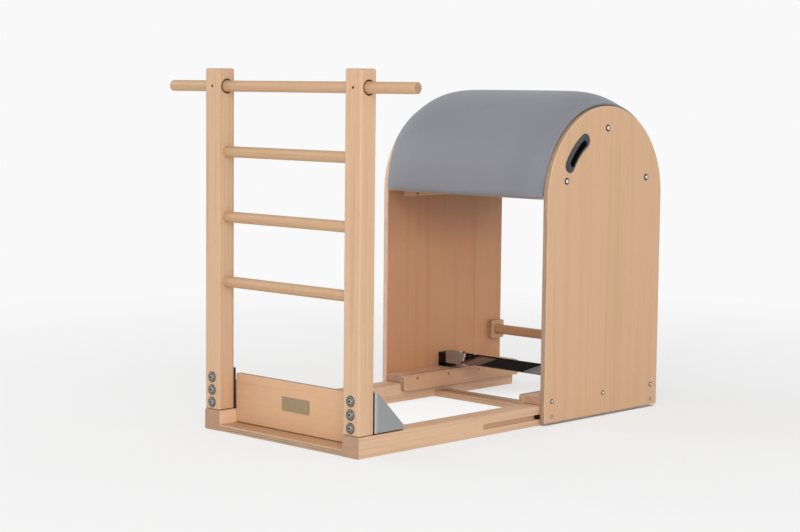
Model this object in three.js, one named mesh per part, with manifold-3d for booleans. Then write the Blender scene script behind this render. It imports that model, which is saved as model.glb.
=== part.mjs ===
// A pilates ladder barrel: a maple ladder on a low base, and a padded half barrel that slides along
// the base rails and locks with two pins worked by a foot treadle.
// Millimetres. +X runs across, +Y from the ladder to the barrel, +Z up from the floor.
import * as THREE from 'three';
import { mergeVertices } from 'three/addons/utils/BufferGeometryUtils.js';
import Module from 'manifold-3d';

const wasm = await Module();
wasm.setup();

// Clearances shared by all pieces
const seatGap = 0.3;
const slideGap = 0.7;
const pinGap = 0.5;
const cutOverrun = 5;

// Ladder
const ladderHeight = 1000;
const frameWidth = 611;
const postWidth = 60;
const postDepth = 56;
const postRound = 6;
const postEndRound = 4;
const rodRadius = 15.2;
const rodPitch = 179;
const topRodDrop = 48;
const topRodLength = 956;
const topRodChamfer = 5;
const rungSeatDepth = 30;
const sleeveWall = 2.4;
const sleeveGrooveWidth = 1.5;
const sleeveGrooveDepth = 5;
const setScrewRadius = 4;
const setScrewSink = 1.2;
const setScrewSocketDepth = 2.5;
const setScrewSocketRadius = 2;

// Base
const railHeight = 57;
const railEndInset = 8;
const railRound = 6;
const boardThickness = 18;
const boardRound = 2.5;
const boardEndRound = 1.5;
const kickSetback = 6;
const kickBoardTop = 156;
const crossBoardLead = 112;
const crossBoardDepth = 65;
const plateWidth = 108;
const plateHeight = 38;
const plateThickness = 1.5;
const plateRound = 2;
const plateCentreHeight = 95;

// Slots in the outer rail faces that hold the carriage down
const slotHeight = 14.7;
const slotDepth = 12.5;
const slotCentreHeight = 25;
const slotFrontGap = 8;
const slotBackGap = 2;

// Gusset brackets and their bolts
const gussetSheet = 3;
const gussetHeight = 114;
const gussetReach = 112;
const gussetTip = 12;
const boltRadius = 4;
const boltPitch = 35.5;
const washerRadius = 15;
const washerRim = 1.4;
const washerProud = 4.4;
const boltHeadRadius = 8.5;
const boltHeadProud = 6;
const boltHeadTopShare = 0.8;
const hexSocketRadius = 3.6;
const hexSocketDepth = 4;
const nutRadius = 8;
const nutHeight = 7;
const boltTail = 4;

// Carriage side panels
const panelThickness = 18;
const panelFront = 720;
const panelLength = 528;
const slideTravel = 216;
const panelFloorGap = 6;
const archCentreHeight = 642;
const panelRound = 3;

// Hand grips let into the panels, measured about the centre of the arch
const gripInset = 70;
const gripWidth = 42;
const gripStart = THREE.MathUtils.degToRad(122.2);
const gripEnd = THREE.MathUtils.degToRad(150.7);
const gripProud = 2.6;
const gripBevel = 1;
const gripWellShift = 3.4;
const gripWellWidth = 19;
const gripWellStart = THREE.MathUtils.degToRad(126.4);
const gripWellEnd = THREE.MathUtils.degToRad(147.6);
const gripWall = 3;
const gripWellDepth = 14;

// Runner blocks on the rails and guide boards beside them
const runnerHeight = 23.5;
const guideThickness = 17;
const guideHeight = 49;
const runnerRound = 3;
const guideEndRound = 1;
const guideCornerRound = 8;

// Glides that run in the rail slots
const glideFrontLead = 15;
const glideFrontLength = 94;
const glideBackLength = 30;
const glideBackInset = 17;

// Barrel under the padding
const shellThickness = 8;
const padSeatInset = 2;
const ribThickness = 18;
const ribDepth = 113.4;
const cleatHeight = 20;
const cleatLengthShare = 0.75;
const cleatThickness = 18;

// Padding
const padEdgeThickness = 14;
const padCrown = 30.5;
const padCornerRound = 2;
const padCrownPower = 9;
const padCrownFlatness = 1.8;
const padEndThinning = 8;
const padThinningPower = 8;
const padEndThicknessShares = [0.55, 0.86, 1];
const padEndAngle = THREE.MathUtils.degToRad(2.2);
const padArcSteps = 24;
const padAcrossSteps = 16;

// Rear cross rod and the blocks that hold it
const rearBlockSize = 58;
const rearBlockThickness = 18;
const rearBlockCentreHeight = 177;
const rearBlockInset = 5;
const rearBlockRound = 6;

// Treadle, its shaft and the latch pins
const treadleAxisLead = 22;
const treadleAxisHeight = 110;
const treadleTilt = THREE.MathUtils.degToRad(8);
const shaftRadius = 6;
const treadleSheet = 3;
const treadleLength = 336;
const treadleFrontReach = 60;
const treadleBackReach = 30;
const treadleLip = 8;
const gripMatLength = 160;
const gripMatThickness = 2;
const hubRadius = 15;
const hubLength = 23;
const leverLength = 45;
const leverThickness = 4;
const leverBossRadius = 10;
const leverTipRadius = 5;
const leverWidth = 7;
const pinRadius = 6;
const pinNeckRadius = 4;
const pinCollarRadius = 9;
const pinCollarHeight = 3;
const pinTipChamfer = 1;
const pinInset = 43.5;
const pinRise = 3;
const pinHoleDepth = 16;
const pinHoleCount = 5;
const pinHoleGap = 0.6;
const bearingWidth = 31;
const bearingFrontLead = 9;
const bearingLength = 37;
const bearingHeight = 43;
const bearingFootHeight = 12;
const bearingFootWidth = 38;
const bearingRound = 2;
const shaftEndGap = 3;
const shaftRunningGap = 0.08;
const hoodSheet = 2;
const hoodOuterInset = 43.5;
const hoodWidth = 79;
const hoodFrontLead = 22;
const hoodLength = 40;
const hoodHeight = 53;
const hoodFrontDrop = 33;
const hoodFootWidth = 24;
const hoodFootFrontInset = 1;
const hoodShaftGap = 1.5;
const hoodLipWidth = 15;
const hoodLipHeight = 3;

// Places that follow from the sizes above
const halfFrame = frameWidth / 2;
const postX = halfFrame - postWidth / 2;
const innerX = halfFrame - postWidth;
const postY = postDepth / 2;
const topRodHeight = ladderHeight - topRodDrop;
const setScrewBack = postY - rodRadius - seatGap;
const postFoot = railHeight + seatGap;
const postLength = ladderHeight - postFoot;
const kickFrontY = postDepth + kickSetback;
const footBoardDepth = kickFrontY + boardThickness;
const boardLength = 2 * (innerX - seatGap);
const boltHeights = [1, 0, -1].map((step) => railHeight + gussetHeight / 2 + step * boltPitch);
const panelInnerX = halfFrame + slideGap;
const panelX = panelInnerX + panelThickness / 2;
const panelOuterX = panelInnerX + panelThickness;
const panelBack = panelFront + panelLength;
const archCentreY = panelFront + panelLength / 2;
const archRadius = panelLength / 2;
const railLength = panelBack - railEndInset;
const crossBoardFront = archCentreY - crossBoardLead;
const slotFront = panelFront - glideFrontLead - slideTravel - slotFrontGap;
const slotBack = panelBack - glideBackInset + slotBackGap;
const gripRadius = archRadius - gripInset;
const gripWellRadius = gripRadius - gripWellShift;
const carriageX = panelInnerX - seatGap;
const runnerBase = railHeight + slideGap;
const runnerTop = runnerBase + runnerHeight;
const guideOuterX = innerX - slideGap;
const padSeatRadius = archRadius - padSeatInset;
const padEdgeRadius = padSeatRadius + padEdgeThickness;
const shellOuterRadius = padSeatRadius - seatGap;
const shellInnerRadius = shellOuterRadius - shellThickness;
const ribOuterRadius = shellInnerRadius - seatGap;
const ribInnerRadius = ribOuterRadius - ribDepth;
const cleatLength = panelLength * cleatLengthShare;
const ribX = carriageX - ribThickness / 2;
const rearRodY = panelBack - rearBlockInset - rearBlockSize / 2;
const treadleAxisY = archCentreY - treadleAxisLead;
const pinHolePitch = slideTravel / (pinHoleCount - 1);
const pinX = carriageX - pinInset;
const pinY = treadleAxisY + leverLength * Math.cos(treadleTilt);
const leverTipHeight = treadleAxisHeight + leverLength * Math.sin(treadleTilt);
const pinTipHeight = railHeight + pinRise;
const bearingBase = runnerTop + seatGap;
const padRampAngle = (padEndThicknessShares.length - 1) * padEndAngle;
const padArcStep = (Math.PI - 2 * padRampAngle) / padArcSteps;
const padInnerRadius = padSeatRadius / Math.cos(padArcStep / 2);
const padRingReaches = padRings().map(([angle, share]) => padOuterRadius(0, angle, share) * Math.cos(angle));
const padReach = Math.max(...padRingReaches);
const originY = (archCentreY + padReach - boltHeadProud) / 2;

// Materials
function material(color, roughness, metalness) {
  return new THREE.MeshStandardMaterial({ color, roughness, metalness });
}

const maple = () => material(0xd9b48f, 0.45, 0);
const plywood = () => material(0xd6ad8a, 0.5, 0);
const innerPlywood = () => material(0xb98a63, 0.6, 0);
const vinyl = () => material(0x8f9199, 0.6, 0);
const greyPaint = () => material(0x83878a, 0.5, 0.3);
const steel = () => material(0xc4c4c2, 0.3, 0.95);
const blackSteel = () => material(0x242424, 0.45, 0.7);
const blackPlastic = () => material(0x1b1b1c, 0.5, 0);
const blackRubber = () => material(0x161616, 0.85, 0);
const aluminium = () => material(0x9b9b98, 0.35, 0.9);
const brass = () => material(0xb6935a, 0.35, 0.9);

// Solids for cutting and joining
function manifoldOf(geometry) {
  const bare = geometry.clone();
  bare.deleteAttribute('normal');
  bare.deleteAttribute('uv');
  const merged = mergeVertices(bare);
  const index = merged.index.array;
  const kept = [];
  for (let i = 0; i < index.length; i += 3) {
    const [a, b, c] = [index[i], index[i + 1], index[i + 2]];
    if (a !== b && b !== c && c !== a) kept.push(a, b, c);
  }
  const mesh = new wasm.Mesh({
    numProp: 3,
    vertProperties: new Float32Array(merged.attributes.position.array),
    triVerts: new Uint32Array(kept),
  });
  return new wasm.Manifold(mesh);
}

function geometryOf(manifold) {
  const mesh = manifold.getMesh();
  const geometry = new THREE.BufferGeometry();
  geometry.setAttribute('position', new THREE.BufferAttribute(mesh.vertProperties, 3));
  geometry.setIndex(new THREE.BufferAttribute(mesh.triVerts, 1));
  geometry.computeVertexNormals();
  return geometry;
}

function cut(geometry, ...tools) {
  return geometryOf(tools.reduce((rest, tool) => rest.subtract(manifoldOf(tool)), manifoldOf(geometry)));
}

function join(geometry, ...others) {
  return geometryOf(others.reduce((whole, other) => whole.add(manifoldOf(other)), manifoldOf(geometry)));
}

// Outlines and basic shapes
function roundedRectangle(width, height, radius) {
  const right = width / 2;
  const top = height / 2;
  const shape = new THREE.Shape();
  shape.moveTo(right - radius, -top);
  shape.absarc(right - radius, radius - top, radius, -Math.PI / 2, 0);
  shape.absarc(right - radius, top - radius, radius, 0, Math.PI / 2);
  shape.absarc(radius - right, top - radius, radius, Math.PI / 2, Math.PI);
  shape.absarc(radius - right, radius - top, radius, Math.PI, Math.PI * 1.5);
  return shape;
}

function polygon(points) {
  return new THREE.Shape(points.map(([x, y]) => new THREE.Vector2(x, y)));
}

function extruded(shape, length, edgeRound, curveSegments) {
  const options = { depth: length - 2 * edgeRound, curveSegments, bevelEnabled: edgeRound > 0 };
  options.bevelThickness = edgeRound;
  options.bevelSize = edgeRound;
  options.bevelOffset = -edgeRound;
  options.bevelSegments = 1;
  const geometry = new THREE.ExtrudeGeometry(shape, options);
  return geometry.translate(0, 0, edgeRound - length / 2);
}

// An outline drawn in Y and Z, extruded across X
function alongX(geometry) {
  const across = new THREE.Vector3(1, 0, 0);
  const back = new THREE.Vector3(0, 1, 0);
  const up = new THREE.Vector3(0, 0, 1);
  return geometry.applyMatrix4(new THREE.Matrix4().makeBasis(back, up, across));
}

// An outline drawn in X and Z, extruded along Y
function alongY(geometry) {
  return geometry.rotateX(Math.PI / 2);
}

function cylinder(radius, length, axis, segments = 20) {
  const geometry = new THREE.CylinderGeometry(radius, radius, length, segments);
  if (axis === 'x') geometry.rotateZ(Math.PI / 2);
  if (axis === 'z') geometry.rotateX(Math.PI / 2);
  return geometry;
}

function box(low, high) {
  const size = high.map((value, i) => value - low[i]);
  const centre = high.map((value, i) => (value + low[i]) / 2);
  return new THREE.BoxGeometry(...size).translate(...centre);
}

function chamferedRod(radius, length, chamfer) {
  const half = length / 2;
  const profile = [[0, -half], [radius - chamfer, -half], [radius, chamfer - half]];
  profile.push([radius, half - chamfer], [radius - chamfer, half], [0, half]);
  const geometry = new THREE.LatheGeometry(profile.map(([x, y]) => new THREE.Vector2(x, y)), 20);
  return geometry.rotateZ(-Math.PI / 2);
}

// The same piece on the other side: x changes sign and the triangles are turned round
function mirrored(geometry, side) {
  if (side > 0) return geometry;
  const flipped = geometryOf(manifoldOf(geometry));
  flipped.scale(-1, 1, 1);
  const index = flipped.index.array;
  for (let i = 0; i < index.length; i += 3) {
    [index[i + 1], index[i + 2]] = [index[i + 2], index[i + 1]];
  }
  flipped.computeVertexNormals();
  return flipped;
}

const sides = [['left', -1], ['right', 1]];
const ladderBarrel = new THREE.Group();
ladderBarrel.position.y = -originY;

function addPiece(group, name, geometry, pieceMaterial, place = [0, 0, 0]) {
  const mesh = new THREE.Mesh(geometryOf(manifoldOf(geometry)), pieceMaterial);
  mesh.name = name;
  mesh.position.set(...place);
  group.add(mesh);
  return mesh;
}

// Ladder posts: grooved holes for the top rod's sleeve, mortises for the rungs, bolt and screw holes
function postGeometry() {
  const section = roundedRectangle(postWidth, postDepth, postRound);
  const post = extruded(section, postLength, postEndRound, 2);
  post.translate(postX, postY, postFoot + postLength / 2);
  const rodHole = cylinder(rodRadius + sleeveWall, postWidth + cutOverrun, 'x');
  const tools = [rodHole.translate(postX, postY, topRodHeight)];
  for (const face of [-1, 1]) {
    const groove = cylinder(rodRadius + sleeveWall + sleeveGrooveWidth, 2 * sleeveGrooveDepth, 'x');
    tools.push(groove.translate(postX + face * postWidth / 2, postY, topRodHeight));
  }
  for (const step of [1, 2, 3]) {
    const mortise = cylinder(rodRadius + seatGap, rungSeatDepth + seatGap + cutOverrun, 'x');
    const mortiseX = innerX + (rungSeatDepth + seatGap - cutOverrun) / 2;
    tools.push(mortise.translate(mortiseX, postY, topRodHeight - step * rodPitch));
  }
  for (const height of boltHeights) {
    const boltHole = cylinder(boltRadius + seatGap, postDepth + cutOverrun, 'y', 12);
    tools.push(boltHole.translate(postX, postY, height));
  }
  const screwHole = cylinder(setScrewRadius + seatGap, postY, 'y', 12);
  tools.push(screwHole.translate(postX, 0, topRodHeight));
  return cut(post, ...tools);
}

function sleeveGeometry() {
  const inner = rodRadius + seatGap;
  const outer = rodRadius + sleeveWall - seatGap;
  const half = postWidth / 2;
  const profile = [[inner, -half], [outer, -half], [outer, half], [inner, half], [inner, -half]];
  const ring = new THREE.LatheGeometry(profile.map(([x, y]) => new THREE.Vector2(x, y)), 20);
  ring.rotateZ(-Math.PI / 2);
  const screwHole = cylinder(setScrewRadius + seatGap, postY, 'y', 12);
  return cut(ring, screwHole.translate(0, -postY, 0));
}

function setScrewGeometry() {
  const length = setScrewBack - setScrewSink;
  const screw = cylinder(setScrewRadius, length, 'y', 12);
  const socket = cylinder(setScrewSocketRadius, 2 * setScrewSocketDepth, 'y', 6);
  return cut(screw, socket.translate(0, -length / 2, 0));
}

function buildLadder(group) {
  const post = postGeometry();
  for (const [word, side] of sides) {
    addPiece(group, `post_${word}`, mirrored(post, side), maple());
    const sleevePlace = [side * postX, postY, topRodHeight];
    addPiece(group, `top_rod_sleeve_${word}`, sleeveGeometry(), maple(), sleevePlace);
    const screwPlace = [side * postX, (setScrewBack + setScrewSink) / 2, topRodHeight];
    addPiece(group, `set_screw_${word}`, setScrewGeometry(), blackSteel(), screwPlace);
  }
  const topRod = chamferedRod(rodRadius, topRodLength, topRodChamfer);
  addPiece(group, 'top_rod', topRod, maple(), [0, postY, topRodHeight]);
  const rungLength = 2 * (innerX + rungSeatDepth);
  ['upper', 'middle', 'lower'].forEach((word, i) => {
    const rung = cylinder(rodRadius, rungLength, 'x');
    addPiece(group, `rung_${word}`, rung, maple(), [0, postY, topRodHeight - (i + 1) * rodPitch]);
  });
}

// Base rails: the slot on the outer face and the row of pin holes in the top
function railGeometry() {
  const section = roundedRectangle(postWidth, railHeight, railRound);
  const rail = alongY(extruded(section, railLength, postEndRound, 2));
  rail.translate(postX, railLength / 2, railHeight / 2);
  const slotLength = slotBack - slotFront;
  const slotShape = roundedRectangle(slotLength, slotHeight, slotHeight / 2);
  const slot = alongX(extruded(slotShape, slotDepth + cutOverrun, 0, 3));
  const slotX = halfFrame - (slotDepth - cutOverrun) / 2;
  const tools = [slot.translate(slotX, slotFront + slotLength / 2, slotCentreHeight)];
  for (let i = 0; i < pinHoleCount; i += 1) {
    const hole = cylinder(pinRadius + pinHoleGap, pinHoleDepth + cutOverrun, 'z', 16);
    const holeHeight = railHeight - (pinHoleDepth - cutOverrun) / 2;
    tools.push(hole.translate(pinX, pinY - i * pinHolePitch, holeHeight));
  }
  return cut(rail, ...tools);
}

function boardGeometry(width, depth, thickness) {
  return alongX(extruded(roundedRectangle(depth, thickness, boardRound), width, boardEndRound, 2));
}

// Gusset: a folded sheet with a flange on the post, a foot on the rail and one outer cheek
function gussetGeometry() {
  const front = postDepth + seatGap;
  const base = railHeight + seatGap;
  const low = innerX + seatGap;
  const high = halfFrame - seatGap;
  const cheek = polygon([
    [front, base],
    [front + gussetReach, base],
    [front + gussetReach, base + gussetTip],
    [front + gussetTip, base + gussetHeight],
    [front, base + gussetHeight],
  ]);
  const outerCheek = alongX(extruded(cheek, gussetSheet, 0, 1)).translate(high - gussetSheet / 2, 0, 0);
  const flange = box([low, front, base], [high, front + gussetSheet, base + gussetHeight]);
  const foot = box([low, front, base], [high, front + gussetReach, base + gussetSheet]);
  const holes = boltHeights.map((height) => {
    const hole = cylinder(boltRadius + seatGap, gussetSheet * 2 + cutOverrun, 'y', 12);
    return hole.translate(postX, front, height);
  });
  return cut(join(flange, foot, outerCheek), ...holes);
}

// Bolt with its cup washer in front and its nut behind the gusset, drawn along Y from the post face
function boltGeometry() {
  const nutSeat = postDepth + seatGap + gussetSheet + seatGap;
  const profile = [[0, boltHeadProud], [boltHeadRadius * boltHeadTopShare, boltHeadProud]];
  profile.push([boltHeadRadius, washerProud]);
  profile.push([washerRadius, washerRim], [washerRadius, seatGap], [boltRadius, seatGap]);
  profile.push([boltRadius, -nutSeat], [nutRadius, -nutSeat], [nutRadius, -nutSeat - nutHeight]);
  profile.push([boltRadius, -nutSeat - nutHeight], [boltRadius, -nutSeat - nutHeight - boltTail]);
  profile.push([0, -nutSeat - nutHeight - boltTail]);
  profile.reverse();
  const bolt = new THREE.LatheGeometry(profile.map(([x, y]) => new THREE.Vector2(x, y)), 12);
  const socket = new THREE.CylinderGeometry(hexSocketRadius, hexSocketRadius, 2 * hexSocketDepth, 6);
  return cut(bolt, socket.translate(0, boltHeadProud, 0)).rotateX(Math.PI);
}

function namePlateGeometry() {
  return alongY(extruded(roundedRectangle(plateWidth, plateHeight, plateRound), plateThickness, 0, 2));
}

function buildBase(group) {
  const rail = railGeometry();
  const gusset = gussetGeometry();
  for (const [word, side] of sides) {
    addPiece(group, `rail_${word}`, mirrored(rail, side), maple());
    addPiece(group, `gusset_${word}`, mirrored(gusset, side), greyPaint());
    ['upper', 'middle', 'lower'].forEach((level, i) => {
      const place = [side * postX, 0, boltHeights[i]];
      addPiece(group, `post_bolt_${word}_${level}`, boltGeometry(), steel(), place);
    });
  }
  const footBoard = boardGeometry(boardLength, footBoardDepth, boardThickness);
  addPiece(group, 'foot_board', footBoard, plywood(), [0, footBoardDepth / 2, boardThickness / 2]);
  const kickHeight = kickBoardTop - boardThickness - seatGap;
  const kickBoard = boardGeometry(boardLength, boardThickness, kickHeight);
  const kickPlace = [0, kickFrontY + boardThickness / 2, kickBoardTop - kickHeight / 2];
  addPiece(group, 'kick_board', kickBoard, plywood(), kickPlace);
  const plateY = kickFrontY - seatGap - plateThickness / 2;
  addPiece(group, 'name_plate', namePlateGeometry(), brass(), [0, plateY, plateCentreHeight]);
  const crossBoard = boardGeometry(boardLength, crossBoardDepth, boardThickness);
  const crossPlace = [0, crossBoardFront + crossBoardDepth / 2, boardThickness / 2];
  addPiece(group, 'cross_board', crossBoard, maple(), crossPlace);
}

// A band along an arc about the arch centre, with round ends
function archBand(radius, width, start, end) {
  const shape = new THREE.Shape();
  const half = width / 2;
  const startPoint = [radius * Math.cos(start), radius * Math.sin(start)];
  const endPoint = [radius * Math.cos(end), radius * Math.sin(end)];
  shape.absarc(0, 0, radius + half, start, end, false);
  shape.absarc(endPoint[0], endPoint[1], half, end, end + Math.PI, false);
  shape.absarc(0, 0, radius - half, end, start, true);
  shape.absarc(startPoint[0], startPoint[1], half, start + Math.PI, start + 2 * Math.PI, false);
  return shape;
}

function gripBody(width, radius, start, end, length, edgeRound) {
  return alongX(extruded(archBand(radius, width, start, end), length, edgeRound, 4));
}

// Side panel: straight sides and a round top, with the grip's opening
function panelGeometry() {
  const half = archRadius;
  const low = panelFloorGap - archCentreHeight;
  const outline = new THREE.Shape();
  outline.moveTo(-half, low);
  outline.lineTo(half, low);
  outline.absarc(0, 0, half, 0, Math.PI, false);
  const panel = alongX(extruded(outline, panelThickness, panelRound, 18));
  const wellWidth = gripWellWidth + 2 * (gripWall + seatGap);
  const length = panelThickness + cutOverrun;
  const opening = gripBody(wellWidth, gripWellRadius, gripWellStart, gripWellEnd, length, 0);
  return cut(panel, opening);
}

// Hand grip: a flange on the panel's face with a blind finger well behind it
function gripGeometry() {
  const flange = gripBody(gripWidth, gripRadius, gripStart, gripEnd, gripProud, gripBevel);
  flange.translate(gripProud / 2 + seatGap, 0, 0);
  const cupLength = gripWellDepth + gripWall - gripProud / 2;
  const outerWidth = gripWellWidth + 2 * gripWall;
  const cup = gripBody(outerWidth, gripWellRadius, gripWellStart, gripWellEnd, cupLength, 0);
  cup.translate(seatGap + gripProud / 2 - cupLength / 2, 0, 0);
  const cutLength = gripWellDepth + cutOverrun;
  const well = gripBody(gripWellWidth, gripWellRadius, gripWellStart, gripWellEnd, cutLength, 0);
  well.translate(seatGap + gripProud - gripWellDepth / 2 + cutOverrun / 2, 0, 0);
  return cut(join(flange, cup), well);
}

function runnerGeometry() {
  const low = guideOuterX + seatGap;
  const width = carriageX - low;
  const runner = alongX(extruded(roundedRectangle(panelLength, runnerHeight, runnerRound), width, 0, 2));
  runner.translate((low + carriageX) / 2, archCentreY, runnerBase + runnerHeight / 2);
  const hole = cylinder(pinRadius + seatGap, runnerHeight + cutOverrun, 'z', 16);
  return cut(runner, hole.translate(pinX, pinY, runnerBase + runnerHeight / 2));
}

function glideGeometry(length) {
  const height = slotHeight - 2 * pinGap;
  const depth = carriageX - (halfFrame - slotDepth) - slideGap;
  return alongX(extruded(roundedRectangle(length, height, height / 2), depth, 0, 3));
}

function buildSides(group) {
  const panel = panelGeometry();
  const grip = gripGeometry();
  const runner = runnerGeometry();
  for (const [word, side] of sides) {
    const archPlace = [side * panelX, archCentreY, archCentreHeight];
    addPiece(group, `panel_${word}`, mirrored(panel, side), plywood(), archPlace);
    const gripPlace = [side * panelOuterX, archCentreY, archCentreHeight];
    addPiece(group, `hand_grip_${word}`, mirrored(grip, side), blackPlastic(), gripPlace);
    addPiece(group, `runner_${word}`, mirrored(runner, side), plywood());
    const guideSection = roundedRectangle(panelLength, guideHeight, guideCornerRound);
    const guide = alongX(extruded(guideSection, guideThickness, guideEndRound, 2));
    const guidePlace = [side * (guideOuterX - guideThickness / 2), archCentreY, runnerTop - guideHeight / 2];
    addPiece(group, `guide_board_${word}`, guide, plywood(), guidePlace);
    const glideX = side * (carriageX + halfFrame - slotDepth + slideGap) / 2;
    const frontPlace = [glideX, panelFront - glideFrontLead + glideFrontLength / 2, slotCentreHeight];
    addPiece(group, `glide_front_${word}`, glideGeometry(glideFrontLength), blackPlastic(), frontPlace);
    const backPlace = [glideX, panelBack - glideBackInset - glideBackLength / 2, slotCentreHeight];
    addPiece(group, `glide_back_${word}`, glideGeometry(glideBackLength), blackPlastic(), backPlace);
  }
}

// Half rings about the arch centre
function halfRing(innerRadius, outerRadius, length) {
  const outline = new THREE.Shape();
  outline.absarc(0, 0, outerRadius, 0, Math.PI, false);
  outline.absarc(0, 0, innerRadius, Math.PI, 0, true);
  return alongX(extruded(outline, length, 0, 15));
}

// Padding: a closed half ring whose outer face is crowned across the width and thins at its two ends
function padOuterRadius(across, angle, share) {
  const crown = padCrown * (1 - Math.abs(across) ** padCrownPower) ** padCrownFlatness;
  const thinning = padEndThinning * Math.abs(Math.cos(angle)) ** padThinningPower;
  const edgeDrop = Math.abs(across) === 1 ? padCornerRound : 0;
  const full = padEdgeRadius + crown - edgeDrop - thinning;
  return padInnerRadius + (full - padInnerRadius) * share;
}

function padRings() {
  const ramp = padEndThicknessShares.map((share, i) => [i * padEndAngle, share]);
  const rings = [...ramp];
  for (let i = 1; i < padArcSteps; i += 1) {
    rings.push([padRampAngle + padArcStep * i, 1]);
  }
  return [...rings, ...ramp.map(([angle, share]) => [Math.PI - angle, share]).reverse()];
}

function padSection(angle, share) {
  const half = carriageX - seatGap;
  const points = [[-half, padInnerRadius], [half, padInnerRadius]];
  for (let i = 0; i <= padAcrossSteps; i += 1) {
    const turn = Math.PI * (i / padAcrossSteps);
    const across = Math.sin(turn / 2 - Math.PI / 4) / Math.sin(Math.PI / 4);
    points.push([-across * half, padOuterRadius(across, angle, share)]);
  }
  return points;
}

function padGeometry() {
  const rings = padRings().map(([angle, share]) => padSection(angle, share).map(([x, radius]) => {
    return [x, radius * Math.cos(angle), radius * Math.sin(angle)];
  }));
  const count = rings[0].length;
  const index = [];
  for (let ring = 0; ring < rings.length - 1; ring += 1) {
    for (let i = 0; i < count; i += 1) {
      const next = (i + 1) % count;
      const [a, b] = [ring * count + i, ring * count + next];
      index.push(a, b, a + count, b, b + count, a + count);
    }
  }
  const endSection = padSection(0, padEndThicknessShares[0]).map(([x, y]) => new THREE.Vector2(x, y));
  const cap = THREE.ShapeUtils.triangulateShape(endSection, []);
  const last = (rings.length - 1) * count;
  for (const [a, b, c] of cap) {
    index.push(a, c, b, last + a, last + b, last + c);
  }
  const geometry = new THREE.BufferGeometry();
  geometry.setAttribute('position', new THREE.Float32BufferAttribute(rings.flat(2), 3));
  geometry.setIndex(index);
  return geometry;
}

function buildBarrel(group) {
  const archPlace = [0, archCentreY, archCentreHeight];
  const shell = halfRing(shellInnerRadius, shellOuterRadius, 2 * carriageX);
  addPiece(group, 'barrel_shell', shell, innerPlywood(), archPlace);
  addPiece(group, 'barrel_pad', padGeometry(), vinyl(), archPlace);
  const rib = halfRing(ribInnerRadius, ribOuterRadius, ribThickness);
  addPiece(group, 'rib_centre', rib, innerPlywood(), archPlace);
  const cleat = box([0, 0, 0], [cleatThickness, cleatLength, cleatHeight]);
  for (const [word, side] of sides) {
    addPiece(group, `rib_${word}`, rib, innerPlywood(), [side * ribX, archCentreY, archCentreHeight]);
    const cleatX = side * (carriageX - cleatThickness / 2) - cleatThickness / 2;
    const cleatPlace = [cleatX, archCentreY - cleatLength / 2, archCentreHeight - seatGap - cleatHeight];
    addPiece(group, `cleat_${word}`, cleat, maple(), cleatPlace);
    const block = alongX(extruded(
      roundedRectangle(rearBlockSize, rearBlockSize, rearBlockRound), rearBlockThickness, guideEndRound, 2));
    const hole = cylinder(rodRadius + seatGap, rearBlockThickness + cutOverrun, 'x');
    const blockPlace = [side * (carriageX - rearBlockThickness / 2), rearRodY, rearBlockCentreHeight];
    addPiece(group, `rear_block_${word}`, cut(block, hole), plywood(), blockPlace);
  }
  const rearRod = cylinder(rodRadius, 2 * (carriageX - seatGap), 'x');
  addPiece(group, 'rear_rod', rearRod, maple(), [0, rearRodY, rearBlockCentreHeight]);
}

// Shaft bearing: an upright block at the panel with a low foot reaching over the runner
function bearingGeometry() {
  const front = treadleAxisY - bearingFrontLead;
  const upright = alongX(extruded(
    roundedRectangle(bearingLength, bearingHeight, bearingRound), bearingWidth, 0, 2));
  upright.translate(carriageX - bearingWidth / 2, front + bearingLength / 2, bearingBase + bearingHeight / 2);
  const footInner = carriageX - bearingWidth - bearingFootWidth;
  const foot = box(
    [footInner, front, bearingBase],
    [carriageX - bearingWidth / 2, front + bearingLength - bearingRound, bearingBase + bearingFootHeight],
  );
  const bore = cylinder(shaftRadius + shaftRunningGap, bearingWidth * 2, 'x');
  bore.translate(carriageX - bearingWidth + shaftEndGap, treadleAxisY, treadleAxisHeight);
  return cut(join(upright, foot), bore);
}

// Hood: a folded sheet in front of and over the hub, its side wall footed on the bearing's foot
function hoodGeometry() {
  const outer = carriageX - hoodOuterInset;
  const inner = outer - hoodWidth;
  const front = treadleAxisY - hoodFrontLead;
  const back = front + hoodLength;
  const top = bearingBase + hoodHeight;
  const base = bearingBase + bearingFootHeight + seatGap;
  const footFront = treadleAxisY - bearingFrontLead + hoodFootFrontInset;
  const frontWall = box([inner, front, top - hoodFrontDrop], [outer, front + hoodSheet, top]);
  const roof = box([inner, front, top - hoodSheet], [outer, back, top]);
  const sideWall = box([outer - hoodSheet, front, base], [outer, back, top]);
  const foot = box([outer - hoodFootWidth, footFront, base], [outer, back, base + hoodSheet]);
  const lip = box(
    [inner - hoodLipWidth, front - hoodSheet, top - hoodFrontDrop],
    [inner + hoodSheet, front + hoodSheet, top - hoodFrontDrop + hoodLipHeight],
  );
  const notchReach = shaftRadius + hoodShaftGap;
  const notch = box(
    [outer - 2 * hoodSheet, front + hoodSheet, base + hoodSheet],
    [outer + cutOverrun, treadleAxisY + notchReach, treadleAxisHeight + notchReach],
  );
  return cut(join(frontWall, roof, sideWall, foot, lip), notch);
}

// Treadle, drawn level about its shaft and turned by its tilt
function treadlePlateGeometry() {
  const base = shaftRadius + seatGap;
  const section = polygon([
    [-treadleFrontReach, base],
    [treadleBackReach - treadleSheet, base],
    [treadleBackReach - treadleSheet, base - treadleLip],
    [treadleBackReach, base - treadleLip],
    [treadleBackReach, base + treadleSheet],
    [-treadleFrontReach, base + treadleSheet],
  ]);
  return alongX(extruded(section, treadleLength, 0, 1));
}

function gripMatGeometry() {
  const top = shaftRadius + seatGap + treadleSheet + seatGap;
  return box(
    [-gripMatLength / 2, -treadleFrontReach, top],
    [gripMatLength / 2, treadleBackReach, top + gripMatThickness],
  );
}

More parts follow.
